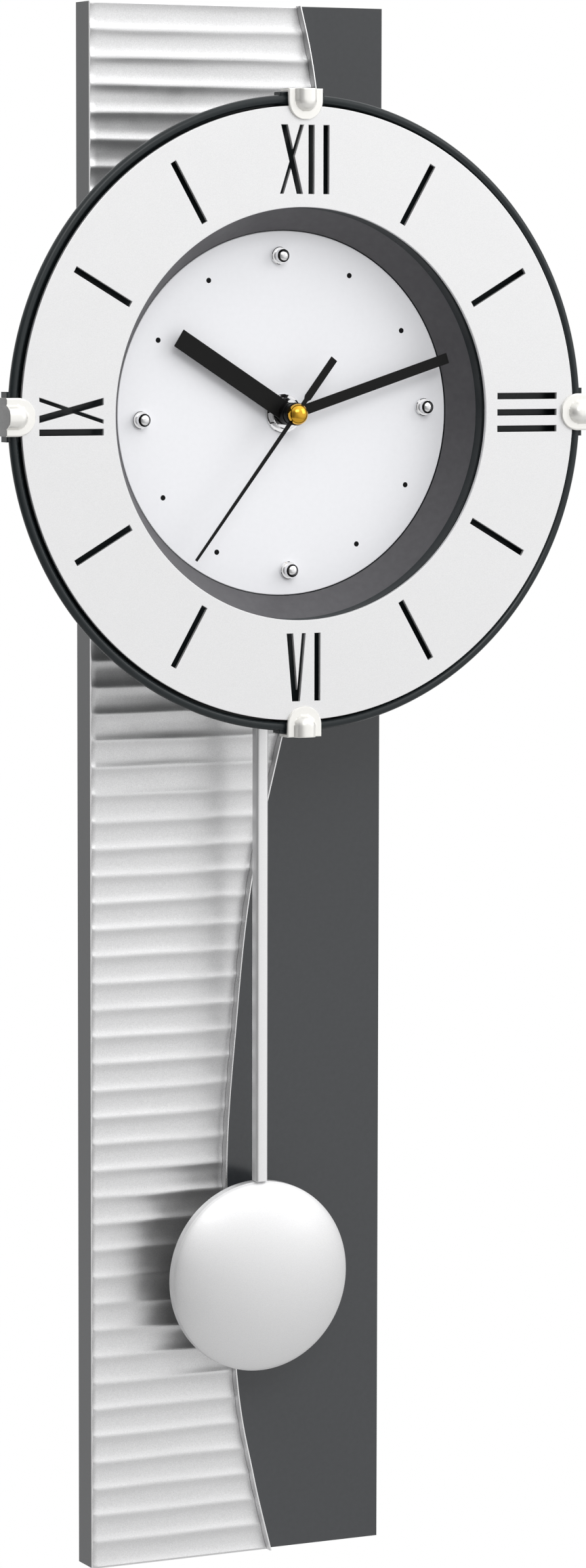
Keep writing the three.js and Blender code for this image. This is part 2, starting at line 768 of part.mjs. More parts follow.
function battery() {
  const half = BATTERY_L / 2;
  const profile = [
    [0, -half],
    [6.4, -half],
    [BATTERY_R, -half + 0.8],
    [BATTERY_R, half - 1.9],
    [6.4, half - 1.2],
    [2.7, half - 1.2],
    [2.7, half],
    [0, half],
  ];
  const upright = turned(profile, 24);
  upright.rotateX(Math.PI / 2);
  upright.translate(BATTERY_X, BATTERY_Y, BATTERY_Z);
  return closed(upright);
}

// ---------------------------------------------------------------- hands

function baton(width, from, to, y) {
  return box(-width / 2, width / 2, y - HAND_T, y, from, to);
}

function hourHand() {
  const collar = disc(4.9, HOUR_Y - 4.4, HOUR_Y, 24);
  const bore = disc(3.05, HOUR_Y - 2.2, HOUR_Y + 1, 24);
  const through = disc(2.2, HOUR_Y - 6, HOUR_Y + 1, 20);
  return cut(join(baton(HOUR_W, 0, HOUR_LENGTH, HOUR_Y), collar), bore, through);
}

function minuteHand() {
  const collar = disc(4.7, MINUTE_Y - 2.2, MINUTE_Y, 24);
  const bore = disc(1.95, MINUTE_Y - 6, MINUTE_Y + 1, 20);
  return cut(join(baton(MINUTE_W, 0, MINUTE_LENGTH, MINUTE_Y), collar), bore);
}

function secondHand() {
  const outline = polygon([
    [-0.55, SECOND_LENGTH],
    [-0.85, 4],
    [-0.95, -7.6],
    [-1.65, -9],
    [-1.65, -SECOND_TAIL],
    [1.65, -SECOND_TAIL],
    [1.65, -9],
    [0.95, -7.6],
    [0.85, 4],
    [0.55, SECOND_LENGTH],
  ]);
  const blade = slab(outline, SECOND_Y - HAND_T, SECOND_Y);
  const boss = disc(5, SECOND_Y - HAND_T, SECOND_Y, 24);
  return cut(join(blade, boss), disc(0.85, SECOND_Y - 2, SECOND_Y + 1, 12));
}

function handCap() {
  const base = SECOND_Y - HAND_T - GAP;
  return turned([
    [0, base - 1.3],
    [0.9, base - 1.3],
    [0.9, base],
    [CAP_R, base],
    [CAP_R, base - 1.2],
    [CAP_R * 0.93, base - 2.3],
    [CAP_R * 0.76, base - 3.2],
    [CAP_R * 0.5, base - 3.9],
    [CAP_R * 0.24, base - 4.2],
    [0, base - 4.3],
  ], 18);
}

// ---------------------------------------------------------------- pendulum

const LEVER_FRONT = -42.1;
const LEVER_BACK = -40.7;

function swingLever() {
  const outline = polygon([
    [-4, 5],
    [4, 5],
    [6.5, -14],
    [6.5, -26],
    [2.2, -33],
    [2.2, PEG_Z - PIVOT_Z - 4],
    [-2.2, PEG_Z - PIVOT_Z - 4],
    [-2.2, -33],
    [-6.5, -26],
    [-6.5, -14],
  ]);
  const plate = slab(outline, LEVER_FRONT, LEVER_BACK);
  const peg = moved(disc(1.3, LEVER_BACK - 0.4, -36.6, 14), 0, 0, PEG_Z - PIVOT_Z);
  const bore = disc(1.3, LEVER_FRONT - 1, LEVER_BACK + 1, 16);
  const magnetSeat = moved(disc(4.3, LEVER_FRONT - 1, LEVER_BACK + 1, 20), 0, 0, -MAGNET_DROP);
  return cut(join(plate, peg), bore, magnetSeat);
}

function leverMagnet() {
  return moved(disc(4, LEVER_FRONT, LEVER_BACK + 0.8, 20), 0, 0, -MAGNET_DROP);
}

function roundedSquare(width, radius) {
  const h = width / 2;
  const shape = new THREE.Shape();
  shape.absarc(h - radius, h - radius, radius, 0, Math.PI / 2, false);
  shape.absarc(-h + radius, h - radius, radius, Math.PI / 2, Math.PI, false);
  shape.absarc(-h + radius, -h + radius, radius, Math.PI, 1.5 * Math.PI, false);
  shape.absarc(h - radius, -h + radius, radius, 1.5 * Math.PI, 2 * Math.PI, false);
  shape.closePath();
  return shape;
}

const ROD_TOP = PEG_Z - 12;
const ROD_FOOT = BOB_Z + BOB_R + 0.15;
const TONGUE = { halfW: 1.6, front: -38.4, back: -36.8, length: 14 }; // of the rod, inside the bob

function pendulumRod() {
  const bar = new THREE.ExtrudeGeometry(roundedSquare(ROD_W, 1.3), {
    depth: ROD_TOP - ROD_FOOT, bevelEnabled: false, curveSegments: 3,
  });
  bar.translate(0, ROD_Y, ROD_FOOT - PIVOT_Z);
  const eyeStrip = box(-2.6, 2.6, -39.9, -38.3, ROD_TOP - 1 - PIVOT_Z, PEG_Z + 4 - PIVOT_Z);
  const eye = moved(disc(1.7, -42, -36, 16), 0, 0, PEG_Z - PIVOT_Z);
  const foot = ROD_FOOT - PIVOT_Z;
  const tongue = box(
    -TONGUE.halfW, TONGUE.halfW, TONGUE.front, TONGUE.back, foot - TONGUE.length, foot + 2,
  );
  return cut(join(bar, eyeStrip, tongue), eye);
}

function bobShell() {
  const dome = [];
  const steps = 6;
  for (let i = 0; i <= steps; i += 1) {
    const a = (i / steps) * (Math.PI / 2);
    dome.push([(BOB_R - 0.5) * Math.sin(a), BOB_RIM_FRONT - BOB_DOME * Math.cos(a) ** 1.6]);
  }
  const inner = dome.slice().reverse().map(([r, y]) => [r * 0.97, y + 0.9]);
  return turned([
    ...dome,
    [BOB_R, BOB_RIM_FRONT + 0.5],
    [BOB_R, BOB_BACK],
    [BOB_R - 1.2, BOB_BACK],
    ...inner,
  ], 48);
}

function bobFront() {
  const side = TONGUE.halfW + RUN;
  const notch = box(-side, side, TONGUE.front - RUN, 0, BOB_R - 4, BOB_R + 2);
  return cut(bobShell(), notch);
}

function bobBack() {
  return disc(BOB_R - 1.6, BOB_BACK - 1, BOB_BACK, 40);
}

// ---------------------------------------------------------------- assembly

const clock = new THREE.Group();

function addBoard() {
  node(clock, 'backboard', backboard(), ANTHRACITE);
  node(clock, 'relief_panel', reliefPanel(), SILVER);
  node(clock, 'trim_upper', trimStrip(HUB_Z, BOARD_H), BRIGHT);
  node(clock, 'trim_lower', trimStrip(-BOARD_H, HUB_Z), BRIGHT);
  node(clock, 'hanger_plate', hangerPlate(), STEEL).position.z = HANGER_Z;
  [-16, 16].forEach((x, i) => {
    const mesh = node(clock, `hanger_screw_${i + 1}`, screw(3.6, 1.3, 1.5, 10, 0), STEEL);
    mesh.position.set(x, HANGER_BACK + GAP + 1.3, HANGER_Z);
  });
}

function addDialUnit(unit) {
  node(unit, 'drum', drum(), BLACK);
  node(unit, 'dial_tray', dialTray(), ANTHRACITE);
  node(unit, 'numeral_plate', numeralPlate(), PLATE_SILVER);
  [12, 3, 6, 9].forEach((hour) => {
    node(unit, `clip_${hour}`, clip(), BRIGHT).rotation.y = (hour * Math.PI) / 6;
  });
  mirroredPlaces(SCREW_OFFSET).forEach(([x, z], i) => {
    const mesh = node(unit, `drum_screw_${i + 1}`, screw(4, 2.4, 1.8, 24, 0), STEEL);
    mesh.position.set(x, -0.4, z);
  });
  TRAY_SCREWS.forEach(([x, z], i) => {
    const mesh = node(unit, `tray_screw_${i + 1}`, screw(2.7, 1.6, 1.5, 6, 0), STEEL);
    mesh.position.set(x, DRUM_FRONT + 3 + 1.7, z);
  });
}

function addInnerDial(unit) {
  const dialGroup = group(unit);
  dialGroup.rotation.y = THREE.MathUtils.degToRad(DIAL_TURN);
  node(dialGroup, 'inner_dial', innerDial(), WHITE);
  [12, 3, 6, 9].forEach((hour) => {
    const [x, z] = clockwise([0, STUD_R], hour * 30);
    node(dialGroup, `stud_${hour}`, stud(), CHROME).position.set(x, 0, z);
  });
  node(unit, 'dial_washer', dialWasher(), CHROME);
  node(unit, 'dial_nut', dialNut(), CHROME);
}

function addMovement(unit) {
  node(unit, 'movement_front', movementFront(), BLACK);
  node(unit, 'movement_back', movementBack(), BLACK);
  node(unit, 'motor_coil', motorCoil(), COPPER);
  node(unit, 'stator', stator(), STEEL);
  node(unit, 'pendulum_coil', pendulumCoil(), COPPER).position.z = PIVOT_Z - HUB_Z - MAGNET_DROP;
  node(unit, 'circuit_board', circuitBoard(), BOARD_GREEN);
  node(unit, 'quartz_crystal', quartzCrystal(), STEEL);
  node(unit, 'battery_contact_top', batteryContact(1), STEEL);
  node(unit, 'battery_contact_bottom', batteryContact(-1), STEEL);
  node(unit, 'battery', battery(), BATTERY_GREY);
  node(unit, 'third_wheel', thirdWheel(), NYLON).position.set(...at3(THIRD_AT));
  node(unit, 'motion_wheel', motionWheel(), NYLON).position.set(...at3(MOTION_AT));
  node(unit, 'set_knob', setKnob(), NYLON).position.set(...at3(MOTION_AT));
  node(unit, 'intermediate_wheel', intermediateWheel(), NYLON).position.set(...at3(INTERMEDIATE_AT));
  node(unit, 'rotor', rotor(), STEEL).position.set(...at3(ROTOR_AT));
}

function addHands(unit) {
  const turnTo = (degrees) => {
    const g = group(unit);
    g.rotation.y = THREE.MathUtils.degToRad(degrees);
    return g;
  };
  const hour = turnTo(HOUR_ANGLE);
  node(hour, 'hour_hand', hourHand(), BLACK);
  node(hour, 'hour_wheel', hourWheel(), NYLON);
  const minute = turnTo(MINUTE_ANGLE);
  node(minute, 'minute_hand', minuteHand(), BLACK);
  node(minute, 'minute_wheel', minuteWheel(), NYLON);
  const second = turnTo(SECOND_ANGLE);
  node(second, 'second_hand', secondHand(), BLACK);
  node(second, 'second_wheel', secondWheel(), NYLON);
  node(second, 'hand_cap', handCap(), BRASS);
}

function addPendulum() {
  const hung = group(clock, 0, 0, PIVOT_Z);
  node(hung, 'pivot_pin', disc(1.15, CASE_BACK - 2, LEVER_BACK + 1.2, 14), STEEL);
  node(hung, 'swing_lever', swingLever(), NYLON);
  node(hung, 'lever_magnet', leverMagnet(), STEEL);
  node(hung, 'pendulum_rod', pendulumRod(), SILVER);
  const bob = group(clock, 0, 0, BOB_Z);
  node(bob, 'bob_front', bobFront(), SILVER);
  node(bob, 'bob_back', bobBack(), BLACK);
}

addBoard();
const dialUnit = group(clock, 0, 0, HUB_Z);
addDialUnit(dialUnit);
addInnerDial(dialUnit);
addMovement(dialUnit);
addHands(dialUnit);
addPendulum();

export default clock;
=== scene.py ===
"""Pendulum wall clock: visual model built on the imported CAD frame. Metres, same frame as the CAD."""
import math
import random

import bmesh
import bpy
from mathutils import Matrix, Vector


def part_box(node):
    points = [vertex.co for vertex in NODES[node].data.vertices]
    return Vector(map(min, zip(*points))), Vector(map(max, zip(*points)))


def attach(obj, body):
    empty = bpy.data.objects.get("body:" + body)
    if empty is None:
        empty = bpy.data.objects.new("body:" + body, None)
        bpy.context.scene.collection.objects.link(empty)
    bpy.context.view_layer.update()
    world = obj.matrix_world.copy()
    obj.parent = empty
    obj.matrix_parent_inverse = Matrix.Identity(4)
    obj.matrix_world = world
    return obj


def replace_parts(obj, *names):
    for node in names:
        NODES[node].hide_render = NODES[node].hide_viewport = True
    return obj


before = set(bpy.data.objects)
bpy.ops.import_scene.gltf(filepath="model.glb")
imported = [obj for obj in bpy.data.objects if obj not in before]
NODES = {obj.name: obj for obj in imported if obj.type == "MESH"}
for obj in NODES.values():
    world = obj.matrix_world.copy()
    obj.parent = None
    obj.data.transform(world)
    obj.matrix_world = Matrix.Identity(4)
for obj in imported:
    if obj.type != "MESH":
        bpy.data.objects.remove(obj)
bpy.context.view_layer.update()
MM = 0.001


def node_box(name):
    """Lowest and highest corner of a CAD node, in millimetres."""
    low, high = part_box(name)
    return [c / MM for c in low], [c / MM for c in high]


BOARD_LOW, BOARD_HIGH = node_box("backboard")
BOARD_FRONT = BOARD_LOW[1]
PLATE_LOW, PLATE_HIGH = node_box("numeral_plate")
HUB_X = (PLATE_LOW[0] + PLATE_HIGH[0]) / 2
HUB_Z = (PLATE_LOW[2] + PLATE_HIGH[2]) / 2
PLATE_FRONT = PLATE_LOW[1]
DIAL_FRONT = node_box("inner_dial")[0][1]
BOB_LOW, BOB_HIGH = node_box("bob_front")
BOB_Z = (BOB_LOW[2] + BOB_HIGH[2]) / 2

# ---------------------------------------------------------------- mesh helpers (millimetres in, metres out)


def piece(name, verts, faces, material, body="clock_body", smooth_angle=30.0):
    """A mesh object from millimetre points, riding on a body, shaded smooth below an angle."""
    mesh = bpy.data.meshes.new(name)
    mesh.from_pydata([tuple(c * MM for c in v) for v in verts], [], faces)
    return from_mesh(name, mesh, material, body, smooth_angle)


def from_mesh(name, mesh, material, body, smooth_angle=30.0):
    tidy = bmesh.new()
    tidy.from_mesh(mesh)
    bmesh.ops.remove_doubles(tidy, verts=tidy.verts, dist=1e-7)
    bmesh.ops.recalc_face_normals(tidy, faces=tidy.faces)
    limit = math.radians(smooth_angle)
    for face in tidy.faces:
        face.smooth = True
    for edge in tidy.edges:
        edge.smooth = len(edge.link_faces) == 2 and edge.calc_face_angle() < limit
    tidy.to_mesh(mesh)
    tidy.free()
    obj = bpy.data.objects.new(name, mesh)
    bpy.context.scene.collection.objects.link(obj)
    obj.data.materials.append(material)
    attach(obj, body)
    return obj


def lathe_data(profile, segments=96, centre=(0.0, 0.0), closed=False):
    """Points and faces of a profile of [radius, y] turned about the Y axis through centre (x, z)."""
    verts, faces, rings = [], [], []
    for r, y in profile:
        if r < 1e-6:
            rings.append([len(verts)] * segments)
            verts.append((centre[0], y, centre[1]))
            continue
        start = len(verts)
        for i in range(segments):
            a = 2 * math.pi * i / segments
            verts.append((centre[0] + r * math.cos(a), y, centre[1] + r * math.sin(a)))
        rings.append(list(range(start, start + segments)))
    pairs = list(zip(rings, rings[1:]))
    if closed:
        pairs.append((rings[-1], rings[0]))
    for one, two in pairs:
        for i in range(segments):
            j = (i + 1) % segments
            quad = []
            for k in (one[i], one[j], two[j], two[i]):
                if k not in quad:
                    quad.append(k)
            if len(quad) > 2:
                faces.append(quad)
    return verts, faces


def lathe(
    name, profile, material, body="clock_body", segments=96, centre=None, closed=False, smooth_angle=30.0,
):
    verts, faces = lathe_data(profile, segments, centre or (HUB_X, HUB_Z), closed)
    return piece(name, verts, faces, material, body, smooth_angle)


def arc(centre_r, centre_y, radius, start, stop, steps):
    """Points of an arc in the (radius, y) section; angles in degrees, 0 outwards, 90 to the front."""
    points = []
    for i in range(steps + 1):
        a = math.radians(start + (stop - start) * i / steps)
        points.append((centre_r + radius * math.cos(a), centre_y - radius * math.sin(a)))
    return points


def slab_data(outline, front, back, chamfer):
    """A plate drawn as (x, z) points, with a small chamfer round its front edge."""
    n = len(outline)
    inner = inset(outline, chamfer)
    verts = [(x, front, z) for x, z in inner]
    verts += [(x, front + chamfer, z) for x, z in outline]
    verts += [(x, back, z) for x, z in outline]
    faces = [list(range(n)), list(range(3 * n - 1, 2 * n - 1, -1))]
    for level in (0, 1):
        for i in range(n):
            j = (i + 1) % n
            a, b = level * n + i, level * n + j
            faces.append([a, b, b + n, a + n])
    return verts, faces


def inset(outline, distance):
    """The outline moved inwards by a distance; points run anticlockwise seen with z up and x right."""
    moved = []
    n = len(outline)
    for i in range(n):
        p0, p1, p2 = (Vector(outline[k % n]) for k in (i - 1, i, i + 1))
        e0, e1 = (p1 - p0).normalized(), (p2 - p1).normalized()
        n0, n1 = Vector((-e0.y, e0.x)), Vector((-e1.y, e1.x))
        mid = (n0 + n1) / max(1e-6, 1 + n0.dot(n1))
        moved.append(tuple(p1 + mid * distance))
    return moved


def slab(name, outline, front, back, material, body="clock_body", chamfer=0.15, place=None):
    verts, faces = slab_data(outline, front, back, chamfer)
    if place:
        verts = [tuple(place @ Vector(v)) for v in verts]
    return piece(name, verts, faces, material, body)


def merge(parts):
    """Several (verts, faces) as one."""
    verts, faces = [], []
    for v, f in parts:
        start = len(verts)
        verts += v
        faces += [[i + start for i in face] for face in f]
    return verts, faces


def clock_turn(degrees, centre=None):
    """Matrix that turns a thing drawn at twelve o'clock round the dial, clockwise for the viewer."""
    x, z = centre or (HUB_X, HUB_Z)
    place = Matrix.Translation((x, 0, z))
    return place @ Matrix.Rotation(math.radians(degrees), 4, "Y")


def disc_outline(radius, segments=64, centre=(0.0, 0.0)):
    return [
        (centre[0] + radius * math.cos(2 * math.pi * i / segments),
         centre[1] + radius * math.sin(2 * math.pi * i / segments))
        for i in range(segments)
    ]


# ---------------------------------------------------------------- materials


class Shader:
    """A principled material with small helpers for its node tree."""

    def __init__(self, name, colour, roughness, metallic=0.0, specular=0.5):
        self.material = bpy.data.materials.new(name)
        self.material.use_nodes = True
        self.material.diffuse_color = (*colour, 1)
        self.tree = self.material.node_tree
        self.bsdf = self.tree.nodes["Principled BSDF"]
        self.colour = colour
        self.bsdf.inputs["Base Color"].default_value = (*colour, 1)
        self.bsdf.inputs["Roughness"].default_value = roughness
        self.bsdf.inputs["Metallic"].default_value = metallic
        self.bsdf.inputs["Specular IOR Level"].default_value = specular
        self.coords = self.tree.nodes.new("ShaderNodeTexCoord").outputs["Object"]

    def noise(self, scale, detail=3.0, roughness=0.55, stretch=(1, 1, 1)):
        mapping = self.tree.nodes.new("ShaderNodeMapping")
        mapping.inputs["Scale"].default_value = stretch
        self.tree.links.new(self.coords, mapping.inputs["Vector"])
        noise = self.tree.nodes.new("ShaderNodeTexNoise")
        noise.inputs["Scale"].default_value = scale
        noise.inputs["Detail"].default_value = detail
        noise.inputs["Roughness"].default_value = roughness
        self.tree.links.new(mapping.outputs["Vector"], noise.inputs["Vector"])
        return noise.outputs["Fac"]

    def ramp(self, source, low, high, at=(0.35, 0.65)):
        """Colour ramp from one colour to another."""
        ramp = self.tree.nodes.new("ShaderNodeValToRGB")
        ramp.color_ramp.elements[0].position = at[0]
        ramp.color_ramp.elements[1].position = at[1]
        ramp.color_ramp.elements[0].color = (*low, 1)
        ramp.color_ramp.elements[1].color = (*high, 1)
        self.tree.links.new(source, ramp.inputs["Fac"])
        return ramp.outputs["Color"]

    def spread(self, source, amount, at=(0.3, 0.7)):
        """Base colour varied about its own value by a share."""
        low = [c * (1 - amount) for c in self.colour]
        high = [min(1.0, c * (1 + amount)) for c in self.colour]
        self.tree.links.new(self.ramp(source, low, high, at), self.bsdf.inputs["Base Color"])

    def rough(self, source, low, high):
        remap = self.tree.nodes.new("ShaderNodeMapRange")
        remap.inputs["From Min"].default_value = 0.3
        remap.inputs["From Max"].default_value = 0.7
        remap.inputs["To Min"].default_value = low
        remap.inputs["To Max"].default_value = high
        self.tree.links.new(source, remap.inputs["Value"])
        self.tree.links.new(remap.outputs["Result"], self.bsdf.inputs["Roughness"])

    def bump(self, source, depth_mm, strength=1.0):
        bump = self.tree.nodes.new("ShaderNodeBump")
        bump.inputs["Strength"].default_value = strength
        bump.inputs["Distance"].default_value = depth_mm * MM
        self.tree.links.new(source, bump.inputs["Height"])
        self.tree.links.new(bump.outputs["Normal"], self.bsdf.inputs["Normal"])


def lacquer():
    """Smooth anthracite lacquer with a faint orange peel."""
    s = Shader("anthracite_lacquer", (0.034, 0.037, 0.041), 0.19, specular=0.70)
    s.spread(s.noise(420, 2), 0.05)
    s.rough(s.noise(60, 3), 0.17, 0.21)
    s.bump(s.noise(700, 2), 0.006, 0.5)
    return s.material


def grained_silver(name, colour, roughness, metallic, grain_scale, grain, bump_mm):
    """Satin silver paint with a fine sandy grain."""
    s = Shader(name, colour, roughness, metallic)
    fine = s.noise(grain_scale, 2, 0.7)
    s.spread(fine, grain)
    s.rough(s.noise(90, 3), roughness - 0.03, roughness + 0.03)
    s.bump(fine, bump_mm, 0.6)
    return s.material


def polished(name, colour, roughness):
    """Plated metal: faint polishing marks and cloudiness."""
    s = Shader(name, colour, roughness, 1.0)
    s.spread(s.noise(150, 3), 0.03)
    s.rough(s.noise(1500, 4), roughness * 0.85, roughness * 1.2)
    s.bump(s.noise(5000, 2), 0.0004, 0.3)
    return s.material


def moulded(name, colour, roughness, texture_scale=1600, bump_mm=0.006, specular=0.5):
    """Moulded plastic with a fine spark-eroded texture."""
    s = Shader(name, colour, roughness, specular=specular)
    s.spread(s.noise(320, 3), 0.08)
    s.rough(s.noise(80, 2), roughness - 0.04, roughness + 0.04)
    s.bump(s.noise(texture_scale, 2), bump_mm, 0.5)
    return s.material


def printed_white():
    s = Shader("dial_white", (0.93, 0.935, 0.965), 0.5)
    s.spread(s.noise(500, 2), 0.008)
    s.rough(s.noise(120, 2), 0.46, 0.54)
    s.bump(s.noise(1800, 2), 0.002, 0.4)
    return s.material


def wound_wire():
    """Enamelled copper wire laid side by side round a former."""
    s = Shader("coil_wire", (0.60, 0.22, 0.09), 0.32, 1.0)
    s.spread(s.noise(900, 2), 0.15)
    wave = s.tree.nodes.new("ShaderNodeTexWave")
    wave.inputs["Scale"].default_value = 900
    s.tree.links.new(s.coords, wave.inputs["Vector"])
    s.bump(wave.outputs["Fac"], 0.05, 0.6)
    return s.material


def circuit_green():
    s = Shader("circuit_green", (0.03, 0.16, 0.08), 0.4)
    s.spread(s.noise(700, 2, 0.5, (1, 1, 4)), 0.35, (0.45, 0.55))
    s.bump(s.noise(700, 2, 0.5, (1, 1, 4)), 0.02, 0.4)
    return s.material


def brushed(name, colour, roughness, stretch):
    s = Shader(name, colour, roughness, 1.0)
    streaks = s.noise(600, 3, 0.6, stretch)
    s.spread(streaks, 0.10)
    s.rough(streaks, roughness - 0.06, roughness + 0.08)
    s.bump(streaks, 0.004, 0.4)
    return s.material


LACQUER = lacquer()
RELIEF = grained_silver("relief_silver", (0.76, 0.76, 0.765), 0.36, 0.88, 2400, 0.10, 0.012)
PLATE = grained_silver("plate_silver", (0.81, 0.81, 0.815), 0.42, 0.6, 2600, 0.05, 0.006)
BOB = grained_silver("bob_silver", (0.78, 0.78, 0.785), 0.50, 0.75, 3000, 0.05, 0.004)
ROD = grained_silver("rod_silver", (0.86, 0.86, 0.865), 0.34, 0.85, 3000, 0.03, 0.003)
TRIM = grained_silver("trim_silver", (0.88, 0.88, 0.885), 0.28, 0.9, 2600, 0.05, 0.004)
NICKEL = grained_silver("satin_nickel", (0.93, 0.92, 0.885), 0.36, 0.6, 3000, 0.01, 0.001)
# darker grey copy of the satin nickel for the clips' outer walls: painted shade on walls that face away
# from the light
NICKEL_PAINTED_SHADE = polished("nickel_painted_shade", (0.27, 0.27, 0.27), 0.42)
CHROME = polished("polished_chrome", (0.86, 0.86, 0.87), 0.06)
# near-black copy of the chrome for a ring on the stud domes: a painted reflection of dark surroundings, not
# a real bezel
STUD_PAINTED_REFLECTION = polished("stud_painted_reflection", (0.03, 0.03, 0.03), 0.2)
BRASS = polished("polished_brass", (0.78, 0.43, 0.045), 0.11)
ZINC = brushed("zinc_plate", (0.55, 0.56, 0.58), 0.35, (1, 1, 6))
STEEL = brushed("drawn_steel", (0.50, 0.50, 0.51), 0.28, (1, 0.1, 1))
FERRITE = brushed("ferrite", (0.16, 0.16, 0.17), 0.5, (1, 1, 1))
WHITE = printed_white()
CHARCOAL = moulded("charcoal_tray", (0.014, 0.019, 0.021), 0.30, specular=0.35)
# lighter grey copy of the tray plastic for the funnel wall: painted light where the wall catches the light
TRAY_WALL_PAINTED_LIGHT = moulded("tray_wall_painted_light", (0.098, 0.096, 0.103), 0.45, specular=0.4)
BLACK = moulded("black_plastic", (0.014, 0.014, 0.015), 0.5)
HAND = moulded("hand_black", (0.005, 0.005, 0.005), 0.45, 2400, 0.002, specular=0.15)
INK = moulded("dial_ink", (0.004, 0.004, 0.005), 0.5, 2400, 0.001, specular=0.1)
NYLON = moulded("nylon", (0.76, 0.74, 0.66), 0.42, 900, 0.01)
JACKET = moulded("battery_jacket", (0.25, 0.27, 0.29), 0.35, 500, 0.002)
COPPER = wound_wire()
CIRCUIT = circuit_green()

# ---------------------------------------------------------------- CAD nodes that keep their shape

KEPT = {
    "backboard": LACQUER, "hanger_plate": ZINC, "hanger_screw_1": ZINC, "hanger_screw_2": ZINC,
    "drum": BLACK, "movement_front": BLACK, "movement_back": BLACK, "motor_coil": COPPER,
    "stator": STEEL, "pendulum_coil": COPPER, "circuit_board": CIRCUIT, "quartz_crystal": STEEL,
    "battery_contact_top": ZINC, "battery_contact_bottom": ZINC, "battery": JACKET,
    "third_wheel": NYLON, "motion_wheel": NYLON, "set_knob": BLACK, "intermediate_wheel": NYLON,
    "rotor": FERRITE, "hour_wheel": NYLON, "minute_wheel": NYLON, "second_wheel": STEEL,
    "pivot_pin": STEEL, "swing_lever": BLACK, "lever_magnet": FERRITE, "bob_back": BLACK,
}
for i in (1, 2, 3, 4):
    KEPT[f"drum_screw_{i}"] = ZINC
    KEPT[f"tray_screw_{i}"] = ZINC


def finish_node(name, material):
    obj = NODES[name]
    obj.data.materials.clear()
    obj.data.materials.append(material)


def soften(name, width_mm):
    """Fine rounded edges on a CAD node."""
    bevel = NODES[name].modifiers.new("edge", "BEVEL")
    bevel.width = width_mm * MM
    bevel.segments = 2
    bevel.limit_method = "ANGLE"
    bevel.angle_limit = math.radians(40)
    bevel.harden_normals = True


for node_name, node_material in KEPT.items():
    finish_node(node_name, node_material)
soften("backboard", 0.5)

# ---------------------------------------------------------------- fluted relief and its trim

FLUTES = 58
PITCH = (BOARD_HIGH[2] - BOARD_LOW[2]) / FLUTES
VALLEY_RISE = 1.55  # lowest line of a flute above the board
RIDGE_RISE = 2.5  # ridges between the flutes above the board
HOLLOW_POWER = 2.6  # higher makes flatter hollows and narrower ridges
RELIEF_EDGE = 0.45  # radius of the rounded outer edges
TRIM_T = 0.9
DRUM_CLEAR = 67.0
TRIM_KNOTS = [
    (29.2, 350), (36.5, 316), (44.5, 245), (44.5, 150), (34.5, 75), (19.6, 19.8),
    (5.5, -41), (-1.9, -102), (-7, -178), (-1.7, -268), (6.6, -314), (15.6, -350),
]


def catmull(p0, p1, p2, p3, t):
    a, b = (p2 - p0) * 0.5, (p3 - p1) * 0.5
    return (2 * p1 - 2 * p2 + a + b) * t ** 3 + (-3 * p1 + 3 * p2 - 2 * a - b) * t ** 2 + a * t + p1


def border_points(steps=48):
    """The trim's right face from top to bottom, as (x, z)."""
    knots = [Vector(k) for k in TRIM_KNOTS]
    last = len(knots) - 1
    points = []
    for i in range(steps * last + 1):
        k = min(i // steps, last - 1)
        t = i / steps - k
        around = [knots[min(max(k + d, 0), last)] for d in (-1, 0, 1, 2)]
        points.append(catmull(*around, t))
    return points


BORDER = border_points()


def border_x(z):
    """The trim's right face at a height."""
    for p, q in zip(BORDER, BORDER[1:]):
        if q.y <= z <= p.y:
            t = (p.y - z) / max(1e-9, p.y - q.y)
            return p.x + (q.x - p.x) * t
    return BORDER[0].x if z > BORDER[0].y else BORDER[-1].x


def flute_rise(x, z, drift):
    """Height of the relief above the board: hollow flutes that meet in narrow, slightly uneven ridges."""
    u = (z - BOARD_LOW[2]) / PITCH
    k = int(round(u))
    wander = drift[k % len(drift)]
    shift = 0.014 * math.sin(x * 0.045 + wander[0]) + 0.006 * math.sin(x * 0.13 + wander[1])
    t = u - shift
    t -= math.floor(t)
    hollow = abs(2 * t - 1) ** HOLLOW_POWER
    crest = RIDGE_RISE - 0.07 + 0.07 * math.sin(x * 0.06 + wander[2])
    near = 1.0 - min(1.0, abs(2 * t - 1) ** 6)
    return VALLEY_RISE + (crest - VALLEY_RISE) * (hollow * (0.82 + 0.18 * near))


